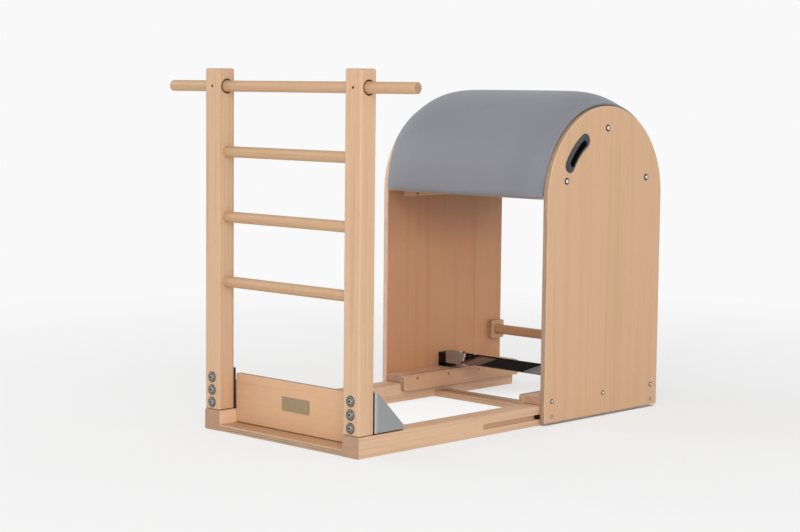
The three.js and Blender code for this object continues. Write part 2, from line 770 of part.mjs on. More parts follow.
// Shaft with a welded lever at each end
function treadleShaftGeometry() {
  const shaftLength = 2 * (carriageX - shaftEndGap);
  const levers = sides.flatMap(([, side]) => {
    const x = side * (pinX - pinNeckRadius - leverThickness / 2 - seatGap);
    const boss = cylinder(leverBossRadius, leverThickness, 'x', 16).translate(x, 0, 0);
    const tip = cylinder(leverTipRadius, leverThickness, 'x', 12).translate(x, leverLength, 0);
    const bar = new THREE.BoxGeometry(leverThickness, leverLength, leverWidth);
    return [boss, tip, bar.translate(x, leverLength / 2, 0)];
  });
  return join(cylinder(shaftRadius, shaftLength, 'x'), ...levers);
}

function hubGeometry() {
  const hub = cylinder(hubRadius, hubLength, 'x');
  return cut(hub, cylinder(shaftRadius + seatGap, hubLength + cutOverrun, 'x'));
}

function buildTreadle(group) {
  const treadle = new THREE.Group();
  treadle.position.set(0, treadleAxisY, treadleAxisHeight);
  treadle.rotation.x = treadleTilt;
  group.add(treadle);
  addPiece(treadle, 'treadle_shaft', treadleShaftGeometry(), steel());
  addPiece(treadle, 'treadle_plate', treadlePlateGeometry(), aluminium());
  addPiece(treadle, 'treadle_mat', gripMatGeometry(), blackRubber());
  for (const [word, side] of sides) {
    const hubX = side * (treadleLength / 2 + seatGap + hubLength / 2);
    addPiece(treadle, `treadle_hub_${word}`, hubGeometry(), blackPlastic(), [hubX, 0, 0]);
  }
}

// Latch pin: a spool at the lever's height above a plain pin
function latchPinGeometry() {
  const throat = leverTipRadius + pinGap;
  const down = pinTipHeight - leverTipHeight;
  const profile = [[0, down], [pinRadius - pinTipChamfer, down], [pinRadius, down + pinTipChamfer]];
  profile.push([pinRadius, -throat - pinCollarHeight]);
  profile.push([pinCollarRadius, -throat - pinCollarHeight], [pinCollarRadius, -throat]);
  profile.push([pinNeckRadius, -throat], [pinNeckRadius, throat], [pinCollarRadius, throat]);
  profile.push([pinCollarRadius, throat + pinCollarHeight], [0, throat + pinCollarHeight]);
  const pin = new THREE.LatheGeometry(profile.map(([x, y]) => new THREE.Vector2(x, y)), 16);
  return pin.rotateX(Math.PI / 2);
}

function buildLatch(group) {
  const bearing = bearingGeometry();
  const hood = hoodGeometry();
  for (const [word, side] of sides) {
    addPiece(group, `shaft_bearing_${word}`, mirrored(bearing, side), blackPlastic());
    addPiece(group, `latch_hood_${word}`, mirrored(hood, side), greyPaint());
    addPiece(group, `latch_pin_${word}`, latchPinGeometry(), steel(), [side * pinX, pinY, leverTipHeight]);
  }
}

const base = new THREE.Group();
const carriage = new THREE.Group();
ladderBarrel.add(base, carriage);
buildLadder(base);
buildBase(base);
buildSides(carriage);
buildBarrel(carriage);
buildTreadle(carriage);
buildLatch(carriage);

export default ladderBarrel;
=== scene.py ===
import math

import bmesh
import bpy
from mathutils import Matrix, Vector


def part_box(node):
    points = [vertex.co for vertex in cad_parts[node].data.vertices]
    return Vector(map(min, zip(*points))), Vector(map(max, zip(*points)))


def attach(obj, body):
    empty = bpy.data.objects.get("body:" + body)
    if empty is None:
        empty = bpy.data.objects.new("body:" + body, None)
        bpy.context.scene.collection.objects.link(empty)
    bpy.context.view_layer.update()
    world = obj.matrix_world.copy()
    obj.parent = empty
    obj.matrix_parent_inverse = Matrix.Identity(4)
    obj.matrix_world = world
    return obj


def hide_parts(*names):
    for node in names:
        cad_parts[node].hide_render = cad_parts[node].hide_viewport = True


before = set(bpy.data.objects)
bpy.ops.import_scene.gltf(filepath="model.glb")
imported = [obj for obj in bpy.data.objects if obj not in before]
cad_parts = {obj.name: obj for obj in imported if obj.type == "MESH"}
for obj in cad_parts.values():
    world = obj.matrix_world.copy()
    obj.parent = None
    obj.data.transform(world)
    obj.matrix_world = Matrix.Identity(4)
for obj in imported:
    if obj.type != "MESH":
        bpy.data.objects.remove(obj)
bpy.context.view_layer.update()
mm = 0.001
axisX, axisY, axisZ = 0, 1, 2
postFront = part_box("post_right")[0].y  # the posts' front face, from which the drawing sizes run back

# The photograph's camera
cameraSettings = {
    "lens": 84.39, "sensor": 36.0, "azimuth": 44.2256, "pitch": 5.4869, "roll": 0.5815,
    "fromPostFront": (3.68975, -3.3303, 0.95727),
}


def addCamera(settings):
    azimuth, pitch, roll = (math.radians(settings[key]) for key in ("azimuth", "pitch", "roll"))
    level = math.cos(pitch)
    forward = Vector((-math.sin(azimuth) * level, math.cos(azimuth) * level, -math.sin(pitch)))
    right = Vector((math.cos(azimuth), math.sin(azimuth), 0))
    up = right.cross(forward)
    turnedRight = right * math.cos(roll) + up * math.sin(roll)
    turnedUp = up * math.cos(roll) - right * math.sin(roll)
    data = bpy.data.cameras.new("photoCamera")
    data.lens = settings["lens"]
    data.sensor_width = settings["sensor"]
    data.clip_start, data.clip_end = 0.1, 100
    camera = bpy.data.objects.new("photoCamera", data)
    placed = Matrix((turnedRight, turnedUp, -forward)).transposed().to_4x4()
    placed.translation = Vector(settings["fromPostFront"]) + Vector((0, postFront, 0))
    camera.matrix_world = placed
    bpy.context.scene.collection.objects.link(camera)
    bpy.context.scene.camera = camera


addCamera(cameraSettings)
print("camera placed")


# Shader maths as Python expressions
class Signal:
    def __init__(self, paint, socket):
        self.paint, self.socket = paint, socket

    def calculate(self, operation, first, second=None):
        values = {0: first} if second is None else {0: first, 1: second}
        return self.paint.node("ShaderNodeMath", {"operation": operation}, values)

    def __add__(self, other):
        return self.calculate("ADD", self, other)

    def __sub__(self, other):
        return self.calculate("SUBTRACT", self, other)

    def __rsub__(self, other):
        return self.calculate("SUBTRACT", other, self)

    def __mul__(self, other):
        return self.calculate("MULTIPLY", self, other)

    def __gt__(self, other):
        return self.calculate("GREATER_THAN", self, other)

    def __lt__(self, other):
        return self.calculate("LESS_THAN", self, other)

    def __abs__(self):
        return self.calculate("ABSOLUTE", self)

    __radd__ = __add__
    __rmul__ = __mul__


class Paint:
    def __init__(self, name, **fixed):
        self.material = bpy.data.materials.new(name)
        self.material.use_nodes = True
        self.tree = self.material.node_tree
        self.shader = self.tree.nodes["Principled BSDF"]
        names = {"color": "Base Color", "roughness": "Roughness", "metallic": "Metallic",
                 "specular": "Specular IOR Level", "sheen": "Sheen Weight"}
        for key, value in fixed.items():
            self.shader.inputs[names[key]].default_value = (*value, 1) if key == "color" else value

    def feed(self, socket, value):
        if isinstance(value, Signal):
            self.tree.links.new(value.socket, socket)
        elif hasattr(socket.default_value, "__len__") and len(socket.default_value) == 4 and len(value) == 3:
            socket.default_value = (*value, 1)
        else:
            socket.default_value = value

    def node(self, kind, settings=None, values=None, output=0):
        made = self.tree.nodes.new(kind)
        for key, value in (settings or {}).items():
            setattr(made, key, value)
        for key, value in (values or {}).items():
            self.feed(made.inputs[key], value)
        return Signal(self, made.outputs[output])

    def place(self):
        return self.node("ShaderNodeTexCoord", output=3)

    def scaled(self, vector, factors):
        return self.node("ShaderNodeVectorMath", {"operation": "MULTIPLY"}, {0: vector, 1: factors})

    def part(self, vector, axis):
        return self.node("ShaderNodeSeparateXYZ", values={0: vector}, output=axis)

    def noise(self, vector, scale=1.0, detail=2.0, roughness=0.5, distortion=0.0):
        values = {"Vector": vector, "Scale": scale, "Detail": detail, "Roughness": roughness,
                  "Distortion": distortion}
        return self.node("ShaderNodeTexNoise", values=values)

    def span(self, value, low, high, toLow=0.0, toHigh=1.0):
        values = {"Value": value, "From Min": low, "From Max": high, "To Min": toLow, "To Max": toHigh}
        return self.node("ShaderNodeMapRange", values=values)

    def mix(self, factor, first, second):
        return self.node("ShaderNodeMix", {"data_type": "RGBA"}, {0: factor, 6: first, 7: second}, 2)

    def shade(self, color, amount):
        grey = self.node("ShaderNodeCombineXYZ", values={0: amount, 1: amount, 2: amount})
        return self.scaled(color, grey)

    def bump(self, height, distance, strength=1.0):
        made = self.node("ShaderNodeBump", values={"Height": height, "Distance": distance, "Strength": strength})
        self.feed(self.shader.inputs["Normal"], made)

    def give(self, socketName, value):
        self.feed(self.shader.inputs[socketName], value)


# Wood
mapleTones = {
    "pink": (0.668, 0.424, 0.269), "straw": (0.654, 0.432, 0.260), "dark": (0.470, 0.262, 0.145),
    "bandAcross": 120.0, "bandAlong": 1.4, "bandShare": 0.6, "fibreAcross": 330.0, "fibreAlong": 9.0,
    "endGrain": (0.460, 0.282, 0.188),
}
railTones = {**mapleTones, "pink": (0.705, 0.455, 0.305), "straw": (0.692, 0.463, 0.294)}
rodTones = {
    **mapleTones, "pink": (0.584, 0.356, 0.206), "straw": (0.569, 0.363, 0.196), "dark": (0.42, 0.235, 0.12),
    "endGrain": (0.42, 0.25, 0.155),
}
streakyTones = {
    **mapleTones, "pink": (0.62, 0.385, 0.25), "straw": (0.72, 0.50, 0.32), "dark": (0.25, 0.145, 0.09),
    "bandAcross": 75.0, "bandAlong": 1.8, "bandShare": 1.0,
}
plyTones = {
    "pink": (0.674, 0.417, 0.256), "straw": (0.664, 0.422, 0.243), "dark": (0.530, 0.306, 0.160),
    "bandAcross": 30.0, "bandAlong": 0.9, "bandShare": 0.42, "fibreAcross": 300.0, "fibreAlong": 7.0,
    "paleLayer": (0.52, 0.355, 0.225), "darkLayer": (0.25, 0.155, 0.095), "layer": 1.4 * mm,
}
# Painted light: paler plies on the left panel's edges, a lit copy of the same plywood edge
litEdgeTones = {**plyTones, "paleLayer": (0.80, 0.60, 0.46), "darkLayer": (0.58, 0.40, 0.29)}
kickTones = {**plyTones, "pink": (0.705, 0.430, 0.252), "straw": (0.694, 0.438, 0.240), "dark": (0.53, 0.29, 0.147)}
# Painted light: the guide boards are brighter and redder, standing in for warm bounce light between the panels
guideBounceTones = {**plyTones, "pink": (0.760, 0.462, 0.300), "straw": (0.750, 0.470, 0.290), "dark": (0.50, 0.28, 0.16)}
# Painted shade: the foot board's plywood is darker, standing in for the shade that falls on its top
shadedFootTones = {
    **plyTones, "pink": (0.555, 0.322, 0.186), "straw": (0.536, 0.322, 0.173), "dark": (0.40, 0.205, 0.10),
    "layer": 2.7 * mm,
}
# Painted light for inward faces: a warm tint standing in for bounce light, and painted shade towards the top under
# the barrel
innerBounceAndShade = {"bounceTint": (1.04, 0.88, 0.79), "shadeFrom": 450 * mm, "shadeTo": 625 * mm, "shade": 0.66}
# Painted light: the rails' inward faces are brightened to stand in for bounce light from the floor
railInnerBounceLight = {"bounceTint": (1.28, 1.34, 1.42), "shadeFrom": 0, "shadeTo": 1, "shade": 1}
figure = {
    "patches": (9, 1.6), "flecks": (620, 42), "patchSpan": (0.36, 0.64), "bandSpan": (0.50, 0.76),
    "fibreTone": (0.25, 0.75, 0.955, 1.045), "fleckTone": (0.62, 0.74, 1.0, 0.93),
    "roughness": (0.3, 0.7, 0.38, 0.48), "relief": 0.05 * mm, "reliefStrength": 0.6,
}
plyEdge = {
    "waves": (60, 60, 60), "waveDepth": 0.5 * mm, "stripeFrom": 0.55, "stripeTo": 0.95,
    "smudges": (240, 16), "smudgeTone": (0.3, 0.7, 0.80, 1.16),
    "arrisHighlight": (0.80, 0.58, 0.43), "arrisHighlightShare": 0.7, "arrisHighlightIn": (2.6 * mm, 1.6 * mm),
    "arrisHighlightOut": (0.9 * mm, 0.1 * mm), "coreFrom": 1.7 * mm, "coreTo": 1.2 * mm,
}
sawnEnd = {
    "from": 0.6 * mm, "to": 3.0 * mm, "pores": (420, 420, 420), "rings": (60, 90, 120),
    "poreTone": (0.3, 0.7, 0.92, 1.07), "ringTone": (0.3, 0.7, 0.93, 1.05), "rougher": 0.35,
}


def grainVector(paint, place, grain, across, along):
    factors = [across] * 3
    factors[grain] = along
    return paint.scaled(place, tuple(factors))


def woodColour(paint, place, grain, tones):
    bands = paint.noise(grainVector(paint, place, grain, tones["bandAcross"], tones["bandAlong"]), 1, 3, 0.55, 0.4)
    patches = paint.noise(grainVector(paint, place, grain, *figure["patches"]), 1, 2, 0.5, 0.3)
    fibres = paint.noise(grainVector(paint, place, grain, tones["fibreAcross"], tones["fibreAlong"]), 1, 4, 0.6, 0.2)
    flecks = paint.noise(grainVector(paint, place, grain, *figure["flecks"]), 1, 1, 0.5)
    colour = paint.mix(paint.span(patches, *figure["patchSpan"]), tones["pink"], tones["straw"])
    colour = paint.mix(paint.span(bands, *figure["bandSpan"]) * tones["bandShare"], colour, tones["dark"])
    tone = paint.span(fibres, *figure["fibreTone"]) * paint.span(flecks, *figure["fleckTone"])
    return paint.shade(colour, tone), fibres


def woodFinish(name, grain, tones, edge=None, ends=None, innerFace=None, inside=innerBounceAndShade):
    paint = Paint(name, roughness=0.42, specular=0.4)
    place = paint.place()
    colour, fibres = woodColour(paint, place, grain, tones)
    roughness, relief = paint.span(fibres, *figure["roughness"]), fibres
    if innerFace:  # painted light on the faces that look inwards: a warm tint for bounce light, and painted shade higher up
        inner = paint.scaled(colour, inside["bounceTint"])
        height = paint.part(place, axisZ)
        inner = paint.shade(inner, paint.span(height, inside["shadeFrom"], inside["shadeTo"], 1, inside["shade"]))
        colour = paint.mix(abs(paint.part(place, axisX)) < innerFace, colour, inner)
    if edge:  # plywood: its layers show beyond half of the sheet's thickness from the faces
        axis, centre, half = edge
        across = paint.part(place, axis)
        across = abs(across) if centre > 0 and axis == axisX else across
        depth = abs(across - centre)
        layers = paint.node("ShaderNodeMath", {"operation": "PINGPONG"}, {0: depth, 1: tones["layer"]})
        wavy = paint.noise(paint.scaled(place, plyEdge["waves"]), 1, 3) * plyEdge["waveDepth"]
        layer = tones["layer"]
        stripe = paint.span(layers + wavy, plyEdge["stripeFrom"] * layer, plyEdge["stripeTo"] * layer)
        plies = paint.mix(stripe, tones["paleLayer"], tones["darkLayer"])
        smudge = paint.noise(grainVector(paint, place, grain, *plyEdge["smudges"]), 1, 3)
        plies = paint.shade(plies, paint.span(smudge, *plyEdge["smudgeTone"]))
        # Painted highlight along the rounded arris between the face and the edge
        arrisHighlight = (paint.span(depth, *(half - inset for inset in plyEdge["arrisHighlightIn"]))
                 * paint.span(depth, *(half - inset for inset in plyEdge["arrisHighlightOut"]), 1, 0))
        colour = paint.mix(arrisHighlight * plyEdge["arrisHighlightShare"], colour, plyEdge["arrisHighlight"])
        core = paint.span(depth, half - plyEdge["coreFrom"], half - plyEdge["coreTo"], 1, 0)
        colour = paint.mix(core, colour, plies)
    if ends:  # solid timber: darker end grain on the sawn ends
        axis, low, high = ends
        along = paint.part(place, axis)
        near = paint.span(along, low + sawnEnd["from"], low + sawnEnd["to"], 1, 0)
        far = paint.span(along, high - sawnEnd["to"], high - sawnEnd["from"])
        pores = paint.noise(paint.scaled(place, sawnEnd["pores"]), 1, 3)
        rings = paint.noise(paint.scaled(place, sawnEnd["rings"]), 1, 3)
        tone = paint.span(pores, *sawnEnd["poreTone"]) * paint.span(rings, *sawnEnd["ringTone"])
        colour = paint.mix(near + far, colour, paint.shade(tones["endGrain"], tone))
        roughness = roughness + (near + far) * sawnEnd["rougher"]
        relief = fibres * (1 - (near + far))
    paint.give("Base Color", colour)
    paint.give("Roughness", roughness)
    paint.bump(relief, figure["relief"], figure["reliefStrength"])
    return paint


def boardFinish(name, node, grain, thicknessAxis, tones=plyTones, innerFace=None):
    low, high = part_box(node)
    centre, half = (low + high) / 2, (high - low) / 2
    middle = abs(centre[thicknessAxis]) if thicknessAxis == axisX else centre[thicknessAxis]
    return woodFinish(name, grain, tones, edge=(thicknessAxis, middle, half[thicknessAxis]), innerFace=innerFace)


railLow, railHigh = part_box("rail_right")
postLow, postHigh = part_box("post_right")
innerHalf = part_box("panel_right")[0].x + mm
finishes = {
    "post": woodFinish("mapleUpright", axisZ, mapleTones, ends=(axisZ, postLow.z - 1, postHigh.z)),
    "rod": woodFinish("mapleRod", axisX, rodTones),
    "topRod": woodFinish("mapleTopRod", axisX, rodTones,
                         ends=(axisX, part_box("top_rod")[0].x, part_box("top_rod")[1].x)),
    "rail": woodFinish("mapleRail", axisY, railTones, ends=(axisY, railLow.y, railHigh.y),
                       innerFace=railLow.x + mm, inside=railInnerBounceLight),
    "crossBoard": woodFinish("mapleCrossBoard", axisX, streakyTones),
    "cleat": woodFinish("mapleCleat", axisY, mapleTones),
    "panel_right": boardFinish("plywoodPanel", "panel_right", axisZ, axisX, plyTones, innerHalf),
    "panel_left": boardFinish("litEdgePlywoodPanel", "panel_right", axisZ, axisX, litEdgeTones, innerHalf),
    "foot": boardFinish("plywoodFootBoard", "foot_board", axisX, axisZ, shadedFootTones),
    "kick": boardFinish("plywoodKickBoard", "kick_board", axisX, axisY, kickTones),
    "runner": woodFinish("mapleRunner", axisY, {**railTones, "endGrain": (0.46, 0.265, 0.175)},
                         ends=(axisY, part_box("runner_right")[0].y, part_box("runner_right")[1].y)),
    "guide": boardFinish("plywoodGuide", "guide_board_right", axisY, axisX, guideBounceTones),
    "block": boardFinish("plywoodBlock", "rear_block_right", axisZ, axisX),
    "shell": woodFinish("plywoodShell", axisX, plyTones),
}

# Vinyl, plastics and metals
vinylSettings = {
    "color": (0.220, 0.225, 0.255), "roughness": 0.52, "specular": 0.42, "sheen": 0.19, "grain": 620.0,
    "grainDepth": 0.09 * mm, "grainStrength": 0.55, "clouds": (9, 9, 9), "cloudTone": (0.3, 0.7, 0.975, 1.025),
    "pebbleShare": 0.7, "creaseShare": 0.5, "creaseScale": 0.7,
}
# Bracket paint: shine is a painted highlight along the fold, inner is painted shade towards the middle
bracketSettings = {
    "foldInset": 3 * mm, "shineFrom": 3 * mm, "shineTo": 13 * mm, "plain": (0.278, 0.288, 0.288),
    "shine": (0.44, 0.45, 0.455), "inner": (0.06, 0.05, 0.045), "innerShadeTo": 0.270, "shadeGoneFrom": 0.300,
    "grain": 1400, "roughness": (0.3, 0.7, 0.34, 0.44),
}
# Painted light on the treadle plate: reflection, highlight and shadow
plateSettings = {
    "middle": (0.112, 0.098, 0.092), "plateHighlight": (0.26, 0.225, 0.22), "plateHighlightSpan": (0.085, 0.135),
    "tips": (0.03, 0.028, 0.027), "tipShadeSpan": (0.138, 0.160), "brush": (30, 700, 700),
    "roughness": (0.3, 0.7, 0.32, 0.48),
}


def vinylFinish(settings):
    roughness = settings["roughness"]
    paint = Paint("greyVinyl", roughness=roughness, specular=settings["specular"], sheen=settings["sheen"])
    place = paint.place()
    cloudy = paint.noise(paint.scaled(place, settings["clouds"]), 1, 3)
    paint.give("Base Color", paint.shade(settings["color"], paint.span(cloudy, *settings["cloudTone"])))
    pebbles = paint.node("ShaderNodeTexVoronoi", {"feature": "F1"}, {"Vector": place, "Scale": settings["grain"]})
    creases = paint.noise(place, settings["grain"] * settings["creaseScale"], 3)
    height = pebbles * settings["pebbleShare"] + creases * settings["creaseShare"]
    paint.give("Roughness", paint.span(creases, 0.3, 0.7, roughness - 0.04, roughness + 0.06))
    paint.bump(height, settings["grainDepth"], settings["grainStrength"])
    return paint


def mouldedFinish(name, color, roughness, specular=0.5):
    paint = Paint(name, color=color, roughness=roughness, specular=specular)
    grain = paint.noise(paint.place(), 1400, 2)
    paint.give("Roughness", paint.span(grain, 0.3, 0.7, roughness - 0.05, roughness + 0.06))
    paint.bump(grain, 0.03 * mm, 0.4)
    return paint


def metalFinish(name, color, roughness, metallic=1.0, brush=None):
    paint = Paint(name, color=color, metallic=metallic, roughness=roughness)
    place = paint.place()
    marks = paint.noise(paint.scaled(place, brush or (600, 600, 600)), 1, 3)
    paint.give("Roughness", paint.span(marks, 0.3, 0.7, roughness - 0.07, roughness + 0.09))
    paint.bump(marks, 0.02 * mm, 0.4)
    return paint


def bracketFinish(settings):  # grey enamel with a painted highlight along the fold beside the post, and painted shade (near black) on the plates towards the object's middle
    paint = Paint("greyPaint", specular=0.5)
    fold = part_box("gusset_right")[0].y + settings["foldInset"]
    across = paint.part(paint.place(), axisY)
    fading = paint.span(across, fold + settings["shineFrom"], fold + settings["shineTo"], 1, 0)
    colour = paint.mix(fading, settings["plain"], settings["shine"])
    clearOfShade = paint.span(abs(paint.part(paint.place(), axisX)), settings["innerShadeTo"], settings["shadeGoneFrom"])
    paint.give("Base Color", paint.mix(clearOfShade, settings["inner"], colour))
    paint.give("Roughness", paint.span(paint.noise(paint.place(), settings["grain"], 2), *settings["roughness"]))
    return paint


def plateFinish(settings):  # brushed steel: a brownish middle as a painted reflection of the wood, a painted highlight towards its ends and painted shadow at the tips
    paint = Paint("plateSteel", metallic=0.85, roughness=0.4)
    place = paint.place()
    out = abs(paint.part(place, axisX))
    colour = paint.mix(paint.span(out, *settings["plateHighlightSpan"]), settings["middle"], settings["plateHighlight"])
    paint.give("Base Color", paint.mix(paint.span(out, *settings["tipShadeSpan"]), colour, settings["tips"]))
    marks = paint.noise(paint.scaled(place, settings["brush"]), 1, 3)
    paint.give("Roughness", paint.span(marks, *settings["roughness"]))
    return paint


finishes.update({
    "vinyl": vinylFinish(vinylSettings),
    "blackPlastic": mouldedFinish("blackPlastic", (0.004, 0.003, 0.003), 0.5, 0.25),
    "gripPlastic": mouldedFinish("gripPlastic", (0.042, 0.045, 0.050), 0.32),
    # Black rubber for the mat and trim; also used for the webs that stand in for shade by the hoods
    "blackRubberAndShade": mouldedFinish("blackRubberAndShade", (0.0045, 0.004, 0.004), 0.8, 0.12),
    "greyPaint": bracketFinish(bracketSettings),
    "screwSteel": metalFinish("screwSteel", (0.92, 0.92, 0.91), 0.28, 0.7),
    "dullSteel": metalFinish("dullSteel", (0.42, 0.41, 0.39), 0.36, 0.85),
    # Painted highlight: the hood's lip is near white, standing in for the bright edge of the fold
    "lipHighlight": metalFinish("lipHighlightSteel", (0.72, 0.69, 0.67), 0.40, 0.2),
    # Painted shade: near-black brown for dark pieces set into crevices between parts
    "creviceShade": mouldedFinish("paintedCreviceShade", (0.060, 0.026, 0.011), 0.8, 0.05),
    # Dark metal for cups and bolt heads; on the washers' outer rims and in the panel screw cups it also stands in for
    # shade (painted shade)
    "darkMetalAndRimShade": metalFinish("darkMetalAndRimShade", (0.075, 0.06, 0.05), 0.38, 0.8),
    "zinc": metalFinish("darkZinc", (0.235, 0.225, 0.21), 0.50, 0.75),
    "shaftSteel": metalFinish("shaftSteel", (0.45, 0.45, 0.45), 0.32, 1.0, (20, 700, 700)),
    # Painted reflection: the hood's steel is tinted brown like the wood around it
    "hoodSteel": metalFinish("hoodSteel", (0.38, 0.345, 0.325), 0.46, 0.85, (500, 500, 60)),
    "plateSteel": plateFinish(plateSettings),
    "blackSteel": metalFinish("blackSteel", (0.03, 0.03, 0.03), 0.45, 0.8),
    "brass": metalFinish("brushedBrass", (0.42, 0.33, 0.195), 0.50, 0.75, (30, 900, 900)),
    # Painted shade: near-black for the bolt sockets and the deep part of the grip's well
    "dark": mouldedFinish("paintedRecessShade", (0.004, 0.004, 0.004), 0.8, 0.1),
})
print("finishes ready:", len(finishes))


# Modelling helpers
def soften(bm, edges, radius, segments=4):
    if radius > 0 and edges:
        bmesh.ops.bevel(bm, geom=list(edges), offset=radius, offset_type="OFFSET", segments=segments,
                        profile=0.5, affect="EDGES", material=-1, clamp_overlap=True)


def sharpEdges(bm, degrees=50):
    return [e for e in bm.edges if len(e.link_faces) == 2 and e.calc_face_angle() > math.radians(degrees)]


def longEdges(bm, axis, least=1e-7):
    return [e for e in bm.edges if abs((e.verts[0].co - e.verts[1].co)[axis]) > least]


def rimEdges(bm, axis):
    return [e for e in bm.edges if len([f for f in e.link_faces if abs(f.normal[axis]) > 0.99]) == 1]


def beam(low, high, axis, longRound, endRound, segments=5):
    bm = bmesh.new()
    bmesh.ops.create_cube(bm, size=1)
    bmesh.ops.scale(bm, vec=Vector(high) - Vector(low), verts=bm.verts)
    bmesh.ops.translate(bm, vec=(Vector(low) + Vector(high)) / 2, verts=bm.verts)
    soften(bm, longEdges(bm, axis), longRound, segments)
    bm.normal_update()
    soften(bm, rimEdges(bm, axis), endRound, segments)
    return bm


def nodeBeam(node, axis, longRound, endRound, segments=5):
    low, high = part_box(node)
    return beam(low, high, axis, longRound, endRound, segments)


def facing(direction):
    return Vector((0, 0, 1)).rotation_difference(Vector(direction)).to_matrix().to_4x4()


def moved(bm, matrix):
    bmesh.ops.transform(bm, matrix=matrix, verts=bm.verts)
    return bm


def rodMesh(start, end, radius, endRound=0.0, steps=72, roundSteps=3):
    start, end = Vector(start), Vector(end)
    bm = bmesh.new()
    bmesh.ops.create_cone(bm, cap_ends=True, segments=steps, radius1=radius, radius2=radius,
                          depth=(end - start).length)
    soften(bm, sharpEdges(bm), endRound, roundSteps)
    return moved(bm, Matrix.Translation((start + end) / 2) @ facing(end - start))


def crossRod(lowX, highX, middle, radius, **rest):
    return rodMesh((lowX, middle.y, middle.z), (highX, middle.y, middle.z), radius, **rest)


def turned(profile, place=(0, 0, 0), direction=(0, 0, 1), steps=48):
    bm = bmesh.new()
    points = [bm.verts.new((radius, 0, height)) for radius, height in profile]
    for first, second in zip(points, points[1:]):
        bm.edges.new((first, second))
    bmesh.ops.spin(bm, geom=bm.verts[:] + bm.edges[:], cent=(0, 0, 0), axis=(0, 0, 1), angle=2 * math.pi,
                   steps=steps, use_merge=True)
    bmesh.ops.remove_doubles(bm, verts=bm.verts, dist=1e-6)
    bmesh.ops.recalc_face_normals(bm, faces=bm.faces)
    return moved(bm, Matrix.Translation(Vector(place)) @ facing(direction))


def merged(*parts):
    whole = bmesh.new()
    for part in parts:
        mesh = bpy.data.meshes.new("part")
        part.to_mesh(mesh)
        part.free()
        whole.from_mesh(mesh)
        bpy.data.meshes.remove(mesh)
    return whole


def asObject(name, bm):
    mesh = bpy.data.meshes.new(name)
    bm.to_mesh(mesh)
    bm.free()
    piece = bpy.data.objects.new(name, mesh)
    bpy.context.scene.collection.objects.link(piece)
    return piece


def carve(piece, *cutters):
    holders = []
    for bm in cutters:
        cutter = asObject("cutter", bm)
        holders.append(cutter)
        modifier = piece.modifiers.new("cut", "BOOLEAN")
        modifier.operation = "DIFFERENCE"
        modifier.solver = "EXACT"
        modifier.object = cutter
    depsgraph = bpy.context.evaluated_depsgraph_get()
    carved = bpy.data.meshes.new_from_object(piece.evaluated_get(depsgraph))
    piece.modifiers.clear()
    piece.data = carved
    for cutter in holders:
        bpy.data.objects.remove(cutter)


def dress(name, bm, finish, body, replaced=(), cutters=(), smoothTo=38):
    piece = asObject(name, bm)
    if cutters:
        carve(piece, *cutters)
    piece.data.materials.clear()
    piece.data.materials.append(finishes[finish].material)
    piece.data.shade_smooth()
    piece.data.set_sharp_from_angle(angle=math.radians(smoothTo))
    even = piece.modifiers.new("evenShading", "WEIGHTED_NORMAL")
    even.keep_sharp = True
    even.weight = 80
    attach(piece, body)
    if replaced:
        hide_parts(*replaced)
    return piece


sides = (("left", -1), ("right", 1))
past = 0.01  # how far a cutter runs past the piece it cuts


def fromFront(x, y, z):  # drawing millimetres, measured back from the posts' front face
    return Vector((x * mm, y * mm + postFront, z * mm))


def onFace(face, y, z):
    place = fromFront(0, y, z)
    place.x = face
    return place


def inMm(profile):
    return [(radius * mm, height * mm) for radius, height in profile]


def madeVerts(grown):
    return [part for part in grown["geom"] if isinstance(part, bmesh.types.BMVert)]


def outerX(low, high, side):  # with -side, the face towards the object's middle
    return high.x if side > 0 else low.x


# Ladder
ladder = {
    "postRound": 6 * mm, "postEndRound": 4.5 * mm, "rodRadius": 15.2 * mm, "topRodEndRound": 3.4 * mm,
    "rodGap": 0.25 * mm, "sleeveRadius": 16.4 * mm, "sleeveProud": 0.2 * mm, "sleeveRound": 0.5 * mm,
    "holeRadius": 20.6 * mm, "ringShadeGap": 0.05 * mm, "ringShadeSink": 0.3 * mm,
    "footShadeInset": 1.8 * mm, "footShadeHeight": 2.0 * mm, "footShadeRoundShare": 0.7,
    "setScrewRadius": 3.8 * mm, "setScrewSink": 1.2 * mm, "setScrewGap": 0.3 * mm, "setScrewHole": 9 * mm,
    "setScrewLength": 8 * mm, "setScrewRound": 0.4 * mm, "socketDepth": 2 * mm,
}


